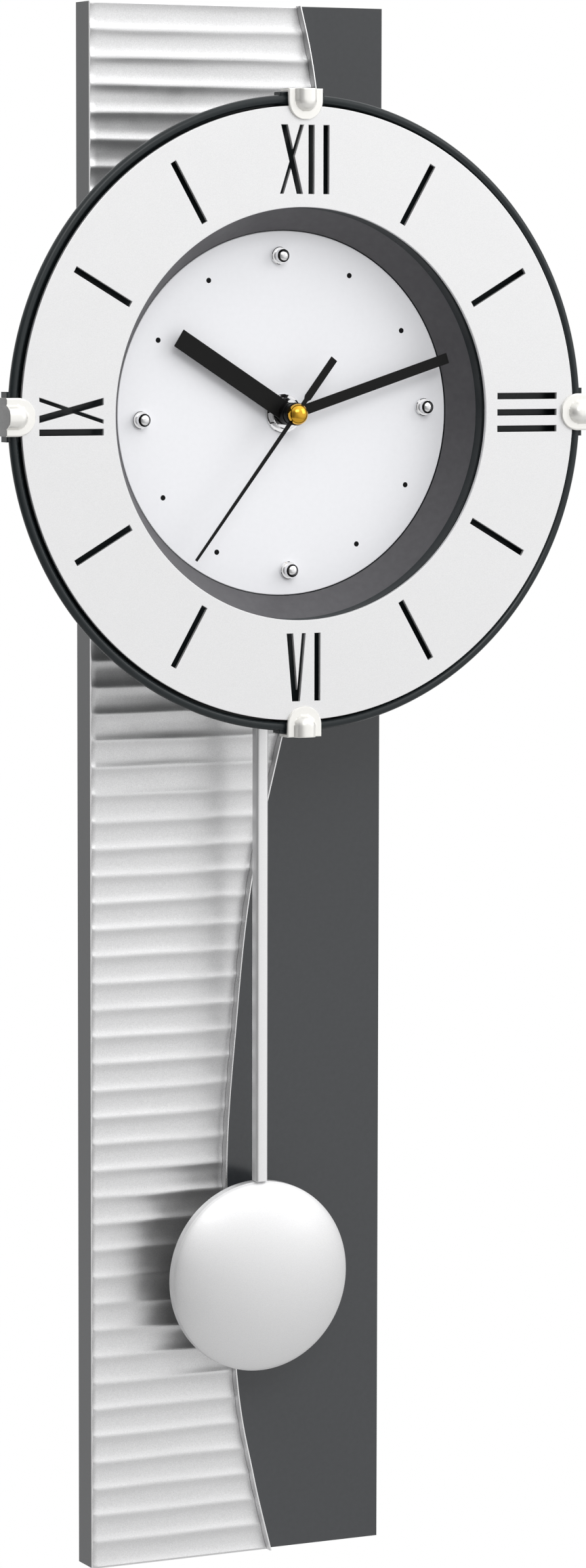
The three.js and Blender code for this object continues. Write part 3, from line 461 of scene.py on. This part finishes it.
def relief_panel():
    random.seed(7)
    drift = [tuple(random.uniform(0, 6.28) for _ in range(3)) for _ in range(61)]
    rows_per_flute, columns = 14, 72
    verts, faces = [], []
    left = BOARD_LOW[0]
    rows = FLUTES * rows_per_flute
    for i in range(rows + 1):
        z = BOARD_LOW[2] + (BOARD_HIGH[2] - BOARD_LOW[2]) * i / rows
        right = border_x(z) - TRIM_T - 0.1
        inside = min(z - BOARD_LOW[2], BOARD_HIGH[2] - z)
        for j in range(columns + 1):
            x = left + (right - left) * j / columns
            rise = flute_rise(x, z, drift)
            drop = round_off(x - left, RELIEF_EDGE) + round_off(inside, RELIEF_EDGE)
            verts.append((x, BOARD_FRONT - max(0.15, rise - drop), z))
    wide = columns + 1
    for i in range(rows):
        for j in range(columns):
            a = i * wide + j
            faces.append([a, a + 1, a + wide + 1, a + wide])
    skirt = [i * wide for i in range(rows + 1)] + [rows * wide + j for j in range(1, wide)]
    skirt += [i * wide + columns for i in range(rows - 1, -1, -1)]
    skirt += list(range(columns - 1, 0, -1))
    start = len(verts)
    for k in skirt:
        x, _, z = verts[k]
        verts.append((x, BOARD_FRONT - 0.02, z))
    n = len(skirt)
    for k in range(n):
        m = (k + 1) % n
        faces.append([skirt[k], skirt[m], start + m, start + k])
    centre = Vector((HUB_X, HUB_Z))
    keep = []
    for face in faces:
        middle = sum((Vector((verts[k][0], verts[k][2])) for k in face), Vector((0, 0))) / len(face)
        if (middle - centre).length > DRUM_CLEAR:
            keep.append(face)
    return piece("flutes", verts, keep, RELIEF, smooth_angle=28)


def round_off(distance, radius):
    """How far a rounded edge falls away at a distance in from it."""
    if distance >= radius:
        return 0.0
    return radius - math.sqrt(max(0.0, radius ** 2 - (radius - distance) ** 2))


def trim_strip(name, low, high):
    """A thin strip on edge along the relief's border, with a rounded front edge."""
    rise = BOARD_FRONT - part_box("trim_lower")[0][1] / MM
    points = [p for p in BORDER if low <= p.y <= high]
    points = [p for p in points if (p - Vector((HUB_X, HUB_Z))).length > DRUM_CLEAR]
    section = [(0.0, 0.0), (0.0, rise - 0.28), (-0.08, rise - 0.09), (-0.26, rise)]
    section += [(-TRIM_T - x, up) for x, up in reversed(section)]
    verts, faces = [], []
    for p in points:
        for dx, up in section:
            verts.append((p.x + dx, BOARD_FRONT - 0.02 - up, p.y))
    m = len(section)
    for i in range(len(points) - 1):
        for j in range(m):
            k = (j + 1) % m
            faces.append([i * m + j, i * m + k, (i + 1) * m + k, (i + 1) * m + j])
    faces.append(list(range(m)))
    faces.append(list(range(len(verts) - 1, len(verts) - m - 1, -1)))
    return piece(name, verts, faces, TRIM, smooth_angle=50)


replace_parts(relief_panel(), "relief_panel")
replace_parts(trim_strip("trim_edge_upper", HUB_Z, 400), "trim_upper")
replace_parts(trim_strip("trim_edge_lower", -400, HUB_Z), "trim_lower")

# ---------------------------------------------------------------- numeral plate

PLATE_R = (PLATE_HIGH[0] - PLATE_LOW[0]) / 2
PLATE_HOLE_R = 89.8
PLATE_T = PLATE_HIGH[1] - PLATE_LOW[1]
SLOT_IN, SLOT_OUT, BAR = 95.5, 125.3, 2.8


def stroke(foot, head):
    return [(foot[0], SLOT_IN), (foot[1], SLOT_IN), (head[1], SLOT_OUT), (head[0], SLOT_OUT)]


def letter_i(u):
    return [stroke((u, u + BAR), (u, u + BAR))]


def crossed(u):
    """The X as one outline: two bars that cross."""
    thick = ((u + 8, u + 11), (u + 0.5, u + 3.6))
    thin = ((u, u + 1.7), (u + 9.6, u + 11.4))
    return [cross_outline(thick, thin)]


def cross_outline(bar_a, bar_b):
    def edge(bar, side, v):
        t = (v - SLOT_IN) / (SLOT_OUT - SLOT_IN)
        return bar[0][side] + (bar[1][side] - bar[0][side]) * t

    def meet(side_a, side_b):
        a0, a1 = edge(bar_a, side_a, SLOT_IN), edge(bar_a, side_a, SLOT_OUT)
        b0, b1 = edge(bar_b, side_b, SLOT_IN), edge(bar_b, side_b, SLOT_OUT)
        t = (b0 - a0) / ((a1 - a0) - (b1 - b0))
        return (a0 + (a1 - a0) * t, SLOT_IN + (SLOT_OUT - SLOT_IN) * t)

    return [
        (bar_b[0][0], SLOT_IN), (bar_b[0][1], SLOT_IN), meet(0, 1), (bar_a[0][0], SLOT_IN),
        (bar_a[0][1], SLOT_IN), meet(1, 1), (bar_b[1][1], SLOT_OUT), (bar_b[1][0], SLOT_OUT),
        meet(1, 0), (bar_a[1][1], SLOT_OUT), (bar_a[1][0], SLOT_OUT), meet(0, 0),
    ]


def vee(u):
    """The V as one outline."""
    a0, a1 = (u + 2.7, u), (u + 5.6, u + 3)
    b0, b1 = (u + 4.7, u + 7.4), (u + 6.4, u + 9.1)

    def cross(one, two):
        t = (two[0] - one[0]) / ((one[1] - one[0]) - (two[1] - two[0]))
        return (one[0] + (one[1] - one[0]) * t, SLOT_IN + (SLOT_OUT - SLOT_IN) * t)

    return [[
        (a0[0], SLOT_IN), (b1[0], SLOT_IN), (b1[1], SLOT_OUT), (b0[1], SLOT_OUT),
        cross(a1, b0), (a1[1], SLOT_OUT), (a0[1], SLOT_OUT),
    ]]


def turned_shape(shape, hour):
    a = math.radians(hour * 30)
    return [(x * math.cos(a) + z * math.sin(a), z * math.cos(a) - x * math.sin(a)) for x, z in shape]


def slot_shapes():
    shapes = []
    for hour in (1, 2, 4, 5, 7, 8, 10, 11):
        shapes += [turned_shape(s, hour) for s in letter_i(-BAR / 2)]
    shapes += crossed(-11.8) + letter_i(1.9) + letter_i(9.1)
    for u in (-8.65, -BAR / 2, 5.85):
        shapes += [turned_shape(s, 3) for s in letter_i(u)]
    shapes += [[(x, z - SLOT_IN - SLOT_OUT) for x, z in s] for s in vee(-8.2) + letter_i(5.3)]
    shapes += [turned_shape(s, 9) for s in letter_i(-8.1) + crossed(-3.1)]
    return shapes


def pierced_plate(name, outer, holes, front, back, edge, material):
    """A flat plate with holes and rounded edges, from a filled curve turned into a mesh."""
    curve = bpy.data.curves.new(name, "CURVE")
    curve.dimensions = "2D"
    curve.fill_mode = "BOTH"
    curve.extrude = ((back - front) / 2 - edge) * MM
    curve.bevel_depth = edge * MM
    curve.bevel_resolution = 2
    curve.offset = -edge * MM
    for outline in [outer, *holes]:
        spline = curve.splines.new("POLY")
        spline.points.add(len(outline) - 1)
        for point, (x, z) in zip(spline.points, outline):
            point.co = (x * MM, z * MM, 0, 1)
        spline.use_cyclic_u = True
    holder = bpy.data.objects.new(name + "_outline", curve)
    bpy.context.scene.collection.objects.link(holder)
    graph = bpy.context.evaluated_depsgraph_get()
    mesh = bpy.data.meshes.new_from_object(holder.evaluated_get(graph))
    bpy.data.objects.remove(holder)
    stand = Matrix.Translation((HUB_X * MM, (front + back) / 2 * MM, HUB_Z * MM))
    mesh.transform(stand @ Matrix.Rotation(math.radians(90), 4, "X"))
    mesh.materials.clear()
    made = from_mesh(name, mesh, material, "clock_body", 25)
    for polygon in made.data.polygons:
        polygon.use_smooth = abs(polygon.normal.y) < 0.98
    return made


plate = pierced_plate(
    "plate", disc_outline(PLATE_R, 256), [disc_outline(PLATE_HOLE_R, 224), *slot_shapes()],
    PLATE_FRONT, PLATE_FRONT + PLATE_T, 0.22, PLATE,
)
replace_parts(plate, "numeral_plate")

# ---------------------------------------------------------------- tray

DIAL_R = 79.9
FLOOR_FRONT = DIAL_FRONT + 1.3
FLOOR_BACK = FLOOR_FRONT + 1.6
LUG_OUT = 139.4


def tray():
    p = PLATE_FRONT
    wall = DIAL_R + 0.3
    bead = arc(136.5, p + 3.2, 2.0, 189, -54, 28)
    lip_round = arc(91.3, p + 6.1, 0.7, 180, 90, 5)
    outer_lip = arc(91.5, p + 6.1, 0.7, 90, 0, 5)
    profile = [
        (5.1, FLOOR_FRONT), (wall, FLOOR_FRONT), (wall, DIAL_FRONT - 0.2),
        (89.6, p + 9.6), *lip_round, *outer_lip, (92.8, p + 7.0), (134.6, p + 7.0), *bead,
        (135.2, p + 8.6), (91.8, p + 8.6), (wall + 1.6, DIAL_FRONT + 0.6),
        (wall + 1.6, FLOOR_BACK), (5.1, FLOOR_BACK),
    ]
    parts = [lathe_data(profile, 224, (HUB_X, HUB_Z), closed=True)]
    lug_outline = [(-10.7, 134.0), (10.7, 134.0), (10.7, LUG_OUT), (-10.7, LUG_OUT)]
    for hour in (12, 3, 6, 9):
        verts, faces = slab_data(lug_outline, p + 2.1, p + 8.4, 0.35)
        place = clock_turn(hour * 30)
        parts.append(([tuple(place @ Vector(v)) for v in verts], faces))
    verts, faces = merge(parts)
    made = piece("tray", verts, faces, CHARCOAL, smooth_angle=32)
    made.data.materials.append(TRAY_WALL_PAINTED_LIGHT)
    # front-facing faces of the funnel wall get the lighter grey copy: painted light on the wall
    for polygon in made.data.polygons:
        x, y, z = (c / MM for c in polygon.center)
        r = math.hypot(x - HUB_X, z - HUB_Z)
        if wall < r < 90.0 and y < DIAL_FRONT and polygon.normal.y < -0.2:
            polygon.material_index = 1
    return made


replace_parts(tray(), "dial_tray")

# ---------------------------------------------------------------- clips

CLIP_HALF, CLIP_IN, CLIP_OUT = 8.2, 127.5, 141.0
CLIP_T = 1.2  # sheet thickness
CLIP_EDGE = 0.35  # radius of the rounded edges
WALL_BACK = 7.2  # the outer wall reaches this far behind the plate's front
BOSS_HALF, BOSS_RISE = 5.0, 3.9
BOSS_INSET = 3.7  # from the flange's inner end to the boss's


def clip_height(x, z):
    """How far the pressed boss stands proud of the flange: a half round with a domed inner end."""
    centre = CLIP_IN + BOSS_INSET + BOSS_HALF
    reach = math.hypot(x, min(0.0, z - centre)) / BOSS_HALF
    if reach >= 1:
        return 0.0
    return BOSS_RISE * (1 - reach ** 3) ** 0.7


def clip_data():
    """Flange with the boss, drawn at twelve o'clock, with its outer wall turned down over the lug."""
    front = PLATE_FRONT - 0.12
    rows, columns = 40, 40
    verts, faces = [], []
    dome = CLIP_IN + CLIP_HALF
    for i in range(rows + 1):
        z = CLIP_IN + (CLIP_OUT - CLIP_EDGE - CLIP_IN) * i / rows
        half = CLIP_HALF
        if z < dome:
            half = math.sqrt(max(0.0, CLIP_HALF ** 2 - (dome - z) ** 2))
        half = max(half, 0.02)
        for j in range(columns + 1):
            x = half * (2 * j / columns - 1)
            away = min(half - abs(x), max(0.0, z - CLIP_IN))
            drop = round_off(away, CLIP_EDGE)
            verts.append((x, front - CLIP_T - clip_height(x, z) + drop, z))
    wide = columns + 1
    for i in range(rows):
        for j in range(columns):
            a = i * wide + j
            faces.append([a, a + 1, a + wide + 1, a + wide])
    top = rows * wide
    rolled = []
    for out, back in ((0.10, 0.02), (0.25, 0.10), (CLIP_EDGE, CLIP_EDGE)):
        for j in range(wide):
            x, y, z = verts[top + j]
            rolled.append((x, y + back, CLIP_OUT - CLIP_EDGE + out))
    start = len(verts)
    verts += rolled
    bulge = [0.9 * (1 - (2 * j / columns - 1) ** 2) for j in range(wide)]
    across = [verts[top + j][0] for j in range(wide)]
    foot = [PLATE_FRONT + WALL_BACK + bulge[j] for j in range(wide)]
    verts += [(x, y, CLIP_OUT) for x, y in zip(across, foot)]
    verts += [(x, y, CLIP_OUT - CLIP_T) for x, y in zip(across, foot)]
    verts += [(x, front, CLIP_OUT - CLIP_T) for x in across]
    levels = [top] + [start + k * wide for k in range(6)]
    for a, b in zip(levels, levels[1:]):
        for j in range(columns):
            faces.append([a + j, a + j + 1, b + j + 1, b + j])
    inner = levels[-1]
    rim = [i * wide for i in range(rows, -1, -1)] + list(range(1, wide))
    rim += [i * wide + columns for i in range(1, rows + 1)]
    low = len(verts)
    for k in rim:
        x, _, z = verts[k]
        verts.append((x, front, z))
    for k in range(len(rim) - 1):
        faces.append([rim[k], rim[k + 1], low + k + 1, low + k])
    faces.append([low + k for k in range(len(rim))] + [inner + j for j in range(columns, -1, -1)])
    for side in (0, columns):
        column = [level + side for level in levels]
        near = low if side == 0 else low + len(rim) - 1
        faces.append(column + [near])
    return verts, faces


def clips():
    for hour in (12, 3, 6, 9):
        verts, faces = clip_data()
        place = clock_turn(hour * 30)
        placed = [tuple(place @ Vector(v)) for v in verts]
        made = piece(f"clip_cap_{hour}", placed, faces, NICKEL, smooth_angle=45)
        made.data.materials.append(NICKEL_PAINTED_SHADE)
        # faces turned outwards get the darker nickel copy: painted shade on the clip's outer wall
        outwards = place.to_3x3() @ Vector((0, 0, 1))
        for polygon in made.data.polygons:
            if polygon.normal.dot(outwards) > 0.9:
                polygon.material_index = 1
        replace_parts(made, f"clip_{hour}")


clips()

# ---------------------------------------------------------------- dial, studs, washer and nut

DIAL_TURN = -1.9  # degrees, the dial sits slightly turned in its tray
DOT_CIRCLE, DOT_R = 68.4, 1.15
STUD_CIRCLE, STUD_RISE = 69, 6.2
DOME_R, DOME_ANGLE = 2.85, 52  # edge radius of a stud's dome, and how far round it reaches
# start of the painted reflection ring on the stud domes
PAINTED_REFLECTION_RISE = 4.0  # the dark band starts this far in front of the dial


def dial():
    profile = [
        (5.1, DIAL_FRONT), (DIAL_R - 0.35, DIAL_FRONT), (DIAL_R - 0.1, DIAL_FRONT + 0.25),
        (DIAL_R - 0.1, DIAL_FRONT + 1.2), (5.1, DIAL_FRONT + 1.2),
    ]
    face = lathe("dial_face", profile, WHITE, segments=192, closed=True)
    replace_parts(face, "inner_dial")
    dots = []
    for hour in (1, 2, 4, 5, 7, 8, 10, 11):
        verts, faces = lathe_data(
            [(0, DIAL_FRONT - 0.04), (DOT_R, DIAL_FRONT - 0.04), (DOT_R + 0.07, DIAL_FRONT + 0.05)],
            32, (0, DOT_CIRCLE),
        )
        place = clock_turn(hour * 30 + DIAL_TURN)
        dots.append(([tuple(place @ Vector(v)) for v in verts], faces))
    verts, faces = merge(dots)
    piece("hour_dots", verts, faces, INK)


def studs():
    f = DIAL_FRONT
    sphere_r = DOME_R / math.sin(math.radians(DOME_ANGLE))
    front = f - STUD_RISE
    dome = [
        (sphere_r * math.sin(math.radians(a)), front + sphere_r * (1 - math.cos(math.radians(a))))
        for a in range(DOME_ANGLE, -1, -2)
    ]
    dome[-1] = (0.0, front)
    foot = [(3.9, f - 0.05), (3.9, f - 1.1), (3.6, f - 1.4), (2.9, f - 1.5), (2.9, dome[0][1] + 0.2)]
    profile = [*foot, *dome]
    for hour in (12, 3, 6, 9):
        a = math.radians(hour * 30 + DIAL_TURN)
        centre = (HUB_X + STUD_CIRCLE * math.sin(a), HUB_Z + STUD_CIRCLE * math.cos(a))
        made = lathe(f"stud_head_{hour}", profile, CHROME, segments=48, centre=centre)
        made.data.materials.append(STUD_PAINTED_REFLECTION)
        # dome faces partway down the flank get the near-black chrome copy: a painted reflection ring
        for polygon in made.data.polygons:
            if polygon.center.y / MM < f - PAINTED_REFLECTION_RISE and 0.55 < -polygon.normal.y < 0.80:
                polygon.material_index = 1
        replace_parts(made, f"stud_{hour}")


def washer_and_nut():
    f = DIAL_FRONT
    profile = [(5.1, f - 1.1), (8.3, f - 1.1), (8.55, f - 0.85), (8.55, f - 0.1), (5.1, f - 0.1)]
    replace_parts(lathe("shaft_washer", profile, CHROME, segments=96, closed=True), "dial_washer")
    profile = [(5.0, f - 3.6), (6.5, f - 3.6), (6.95, f - 3.15), (6.95, f - 1.15), (5.0, f - 1.15)]
    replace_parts(lathe("shaft_nut", profile, CHROME, segments=96, closed=True), "dial_nut")


dial()
studs()
washer_and_nut()

# ---------------------------------------------------------------- hands

HOUR_ANGLE, MINUTE_ANGLE, SECOND_ANGLE = 302.2, 72.4, 217.4
HAND_T = 0.8
HOUR_W, HOUR_REACH = 8.4, 62.4
MINUTE_W, MINUTE_REACH = 4.6, 79.6
SECOND_REACH, TAIL_REACH = 79.5, 30.2


def hand_piece(name, parts, angle, body):
    place = clock_turn(angle)
    verts, faces = merge(parts)
    return piece(name, [tuple(place @ Vector(v)) for v in verts], faces, HAND, body, 35)


def bar_outline(width, start, stop):
    w = width / 2
    return [(-w, start), (w, start), (w, stop), (-w, stop)]


def collar(profile, back):
    """A turned collar from [radius, height in front of the hand's back]."""
    return lathe_data([(r, back - rise) for r, rise in profile], 64)


def hands():
    back = node_box("hour_hand")[1][1]
    blade = slab_data(bar_outline(HOUR_W, 0, HOUR_REACH), back - HAND_T, back, 0.18)
    ring = collar([(3.1, 0), (4.9, 0), (4.9, 4.2), (4.7, 4.4), (2.2, 4.4)], back)
    made = hand_piece("hour_pointer", [blade, ring], HOUR_ANGLE, "hour_hand_set")
    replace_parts(made, "hour_hand")
    back = node_box("minute_hand")[1][1]
    blade = slab_data(bar_outline(MINUTE_W, 0, MINUTE_REACH), back - HAND_T, back, 0.15)
    ring = collar([(1.95, 0), (4.7, 0), (4.7, 2.0), (4.5, 2.2), (1.95, 2.2)], back)
    made = hand_piece("minute_pointer", [blade, ring], MINUTE_ANGLE, "minute_hand_set")
    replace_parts(made, "minute_hand")
    back = node_box("second_hand")[1][1]
    left = [
        (-0.55, SECOND_REACH), (-0.85, 4), (-0.95, -7.6), (-1.65, -9), (-1.65, -TAIL_REACH),
    ]
    outline = left + [(-x, z) for x, z in reversed(left)]
    blade = slab_data(outline, back - HAND_T, back, 0.12)
    ring = collar([(0.8, 0), (5.0, 0), (5.0, 0.65), (4.85, 0.8), (0.8, 0.8)], back)
    made = hand_piece("second_pointer", [blade, ring], SECOND_ANGLE, "second_hand_set")
    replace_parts(made, "second_hand")


def cap():
    base = node_box("hand_cap")[0][1] + 4.3
    radius, rise = 4.6, 3.3
    turns = [math.radians(a) for a in range(0, 91, 5)]
    dome = [(radius * math.sin(a), base - 1.0 - rise * math.cos(a)) for a in turns]
    profile = [*dome, (radius, base - 0.15), (4.45, base), (0.8, base)]
    made = lathe("gold_cap", profile, BRASS, "second_hand_set", 96)
    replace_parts(made, "hand_cap")


hands()
cap()

# ---------------------------------------------------------------- pendulum


def pendulum_rod():
    low, high = node_box("pendulum_rod")
    half = (high[0] - low[0]) / 2
    centre_y = (low[1] + high[1]) / 2
    foot = BOB_HIGH[2] + 0.1
    top = high[2]
    bar_top = top - 16
    radius = 1.3
    outline = []
    for corner, (sx, sy) in enumerate([(1, 1), (-1, 1), (-1, -1), (1, -1)]):
        for i in range(7):
            a = math.radians(corner * 90 + i * 15)
            x = sx * (half - radius) + radius * math.cos(a)
            outline.append((x, sy * (half - radius) + radius * math.sin(a)))
    verts, faces = [], []
    levels = [(foot, 0.12), (foot + 0.15, 0.0), (bar_top - 0.3, 0.0), (bar_top, 0.3)]
    for z, shrink in levels:
        k = 1 - shrink / half
        verts += [(x * k, centre_y + y * k, z) for x, y in outline]
    n = len(outline)
    for level in range(len(levels) - 1):
        for i in range(n):
            j = (i + 1) % n
            a, b = level * n + i, level * n + j
            faces.append([a, b, b + n, a + n])
    faces.append(list(range(n - 1, -1, -1)))
    faces.append([len(verts) - n + i for i in range(n)])
    tongue = slab_data(bar_outline(3.2, foot - 14, foot + 1), -38.4, -36.8, 0.1)
    eye = eye_strip(bar_top - 1, top)
    verts, faces = merge([(verts, faces), tongue, eye])
    made = piece("rod_bar", verts, faces, ROD, "pendulum", 30)
    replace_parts(made, "pendulum_rod")


def eye_strip(low, high):
    """Flat hanging strip ending in a ring round the lever's peg."""
    front, back = -39.9, -38.3
    ring_z = high - 4
    outline = [(-2.6, low), (2.6, low), (1.9, ring_z - 2.4), (-1.9, ring_z - 2.4)]
    strip = slab_data(outline, front, back, 0.12)
    section = [(1.7, front), (3.1, front), (3.1, back), (1.7, back)]
    return merge([strip, lathe_data(section, 40, (0.0, ring_z), closed=True)])


def bob():
    rim = BOB_HIGH[1] - 4.4
    back = BOB_HIGH[1]
    radius = (BOB_HIGH[0] - BOB_LOW[0]) / 2
    height = rim - BOB_LOW[1]
    dome = []
    for i in range(29):
        r = (radius - 0.55) * math.sin(math.radians(90 * i / 28))
        dome.append((r, rim - height * (1 - (r / (radius - 0.55)) ** 2) ** 0.8))
    rolled = [(radius - 0.25, rim + 0.12), (radius - 0.06, rim + 0.4), (radius, rim + 0.7)]
    skirt = [(radius, back - 0.3), (radius - 0.3, back), (radius - 1.3, back), (radius - 1.3, back - 1)]
    profile = [*dome, *rolled, *skirt]
    made = lathe("bob_disc", profile, BOB, "pendulum", 192, (0.0, BOB_Z), smooth_angle=40)
    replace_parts(made, "bob_front")


pendulum_rod()
bob()

# ---------------------------------------------------------------- stage, light and camera


def stage_floor():
    mesh = bpy.data.meshes.new("studio_floor")
    made = bmesh.new()
    bmesh.ops.create_circle(made, cap_ends=True, segments=96, radius=2.2)
    made.to_mesh(mesh)
    made.free()
    floor = bpy.data.objects.new("studio_floor", mesh)
    floor.location = (0, 0, -1.3)
    bpy.context.scene.collection.objects.link(floor)
    s = Shader("studio_paper", (0.50, 0.50, 0.50), 0.8)
    s.spread(s.noise(6, 2), 0.01)
    mesh.materials.append(s.material)


def softbox(name, place, width, height, watts):
    """An area light that faces the clock's centre."""
    light = bpy.data.lights.new(name, "AREA")
    light.shape = "RECTANGLE"
    light.size, light.size_y, light.energy = width, height, watts
    obj = bpy.data.objects.new(name, light)
    obj.location = place
    obj.rotation_euler = (-Vector(place)).to_track_quat("-Z", "Y").to_euler()
    bpy.context.scene.collection.objects.link(obj)


BASE_LIGHT = 0.46
LOBES = [
    # direction, where the lobe starts and is full (cosines), light added or taken away
    ((0.58, -0.72, 0.35), 0.42, 0.93, 0.50),  # right front
    ((0, 0.1, 1), 0.1, 0.9, 0.60),  # above
    ((0, 1, 0), 0.1, 0.6, 0.34),  # behind
    ((-0.2, -0.3, -1), 0.2, 0.9, -0.08),  # below
    ((-1, -0.55, 0), 0.70, 0.98, -0.24),  # left front
]


def studio_world():
    """White backdrop for the camera; for the light, directional lobes that shape the reflections."""
    world = bpy.data.worlds.new("studio")
    bpy.context.scene.world = world
    world.use_nodes = True
    tree = world.node_tree
    nodes, links = tree.nodes, tree.links
    background = nodes["Background"]
    coords = nodes.new("ShaderNodeTexCoord").outputs["Generated"]

    def lobe(direction, low, high, amount):
        dot = nodes.new("ShaderNodeVectorMath")
        dot.operation = "DOT_PRODUCT"
        dot.inputs[1].default_value = Vector(direction).normalized()
        links.new(coords, dot.inputs[0])
        step = nodes.new("ShaderNodeMapRange")
        step.interpolation_type = "SMOOTHSTEP"
        step.inputs["From Min"].default_value = low
        step.inputs["From Max"].default_value = high
        step.inputs["To Min"].default_value = 0.0
        step.inputs["To Max"].default_value = amount
        links.new(dot.outputs["Value"], step.inputs["Value"])
        return step.outputs["Result"]

    def dark_gap():
        """A narrow upright band of less light on the left, mirrored in the polished parts."""
        across = nodes.new("ShaderNodeVectorMath")
        across.operation = "DOT_PRODUCT"
        across.inputs[1].default_value = (-0.13, 0.99, 0)
        links.new(coords, across.inputs[0])
        offset = nodes.new("ShaderNodeMath")
        offset.operation = "ABSOLUTE"
        links.new(across.outputs["Value"], offset.inputs[0])
        strip = nodes.new("ShaderNodeMapRange")
        strip.interpolation_type = "SMOOTHSTEP"
        for socket, value in zip(("From Min", "From Max", "To Min", "To Max"), (0.08, 0.14, 1.0, 0.0)):
            strip.inputs[socket].default_value = value
        links.new(offset.outputs[0], strip.inputs["Value"])
        product = nodes.new("ShaderNodeMath")
        product.operation = "MULTIPLY"
        links.new(strip.outputs["Result"], product.inputs[0])
        links.new(lobe((-1, -0.13, 0), 0.7, 0.8, -0.30), product.inputs[1])
        return product.outputs[0]

    def add(a, b):
        node = nodes.new("ShaderNodeMath")
        node.operation = "ADD"
        for socket, value in zip(node.inputs, (a, b)):
            if isinstance(value, float):
                socket.default_value = value
            else:
                links.new(value, socket)
        return node.outputs[0]

    level = BASE_LIGHT
    for row in LOBES:
        level = add(level, lobe(*row))
    level = add(level, dark_gap())
    seen = nodes.new("ShaderNodeLightPath").outputs["Is Camera Ray"]
    mix = nodes.new("ShaderNodeMix")
    links.new(seen, mix.inputs["Factor"])
    links.new(level, mix.inputs["A"])
    mix.inputs["B"].default_value = 1.0
    links.new(mix.outputs["Result"], background.inputs["Strength"])
    background.inputs["Color"].default_value = (1, 1, 1, 1)


def camera():
    """The view from the left, slightly above the middle, with a long lens."""
    place = Vector((-0.99924, -2.11901, 0.22528))
    yaw, pitch, roll = (math.radians(d) for d in (26.019, 5.465, -0.111))
    forward = Vector((math.sin(yaw) * math.cos(pitch), math.cos(yaw) * math.cos(pitch), -math.sin(pitch)))
    right = Vector((math.cos(yaw), -math.sin(yaw), 0))
    up = right.cross(forward)
    turned_right = right * math.cos(roll) - up * math.sin(roll)
    turned_up = up * math.cos(roll) + right * math.sin(roll)
    data = bpy.data.cameras.new("camera")
    data.sensor_width = 36
    data.lens = 119.26
    obj = bpy.data.objects.new("camera", data)
    basis = Matrix((turned_right, turned_up, -forward)).transposed()
    obj.matrix_world = Matrix.Translation(place) @ basis.to_4x4()
    bpy.context.scene.collection.objects.link(obj)
    bpy.context.scene.camera = obj


stage_floor()
softbox("key", (2.4, -2.0, 1.3), 1.5, 1.9, 16)
softbox("fill", (-0.4, -2.6, 1.6), 1.5, 1.0, 18)
studio_world()
camera()
bpy.context.scene.view_settings.view_transform = "Standard"
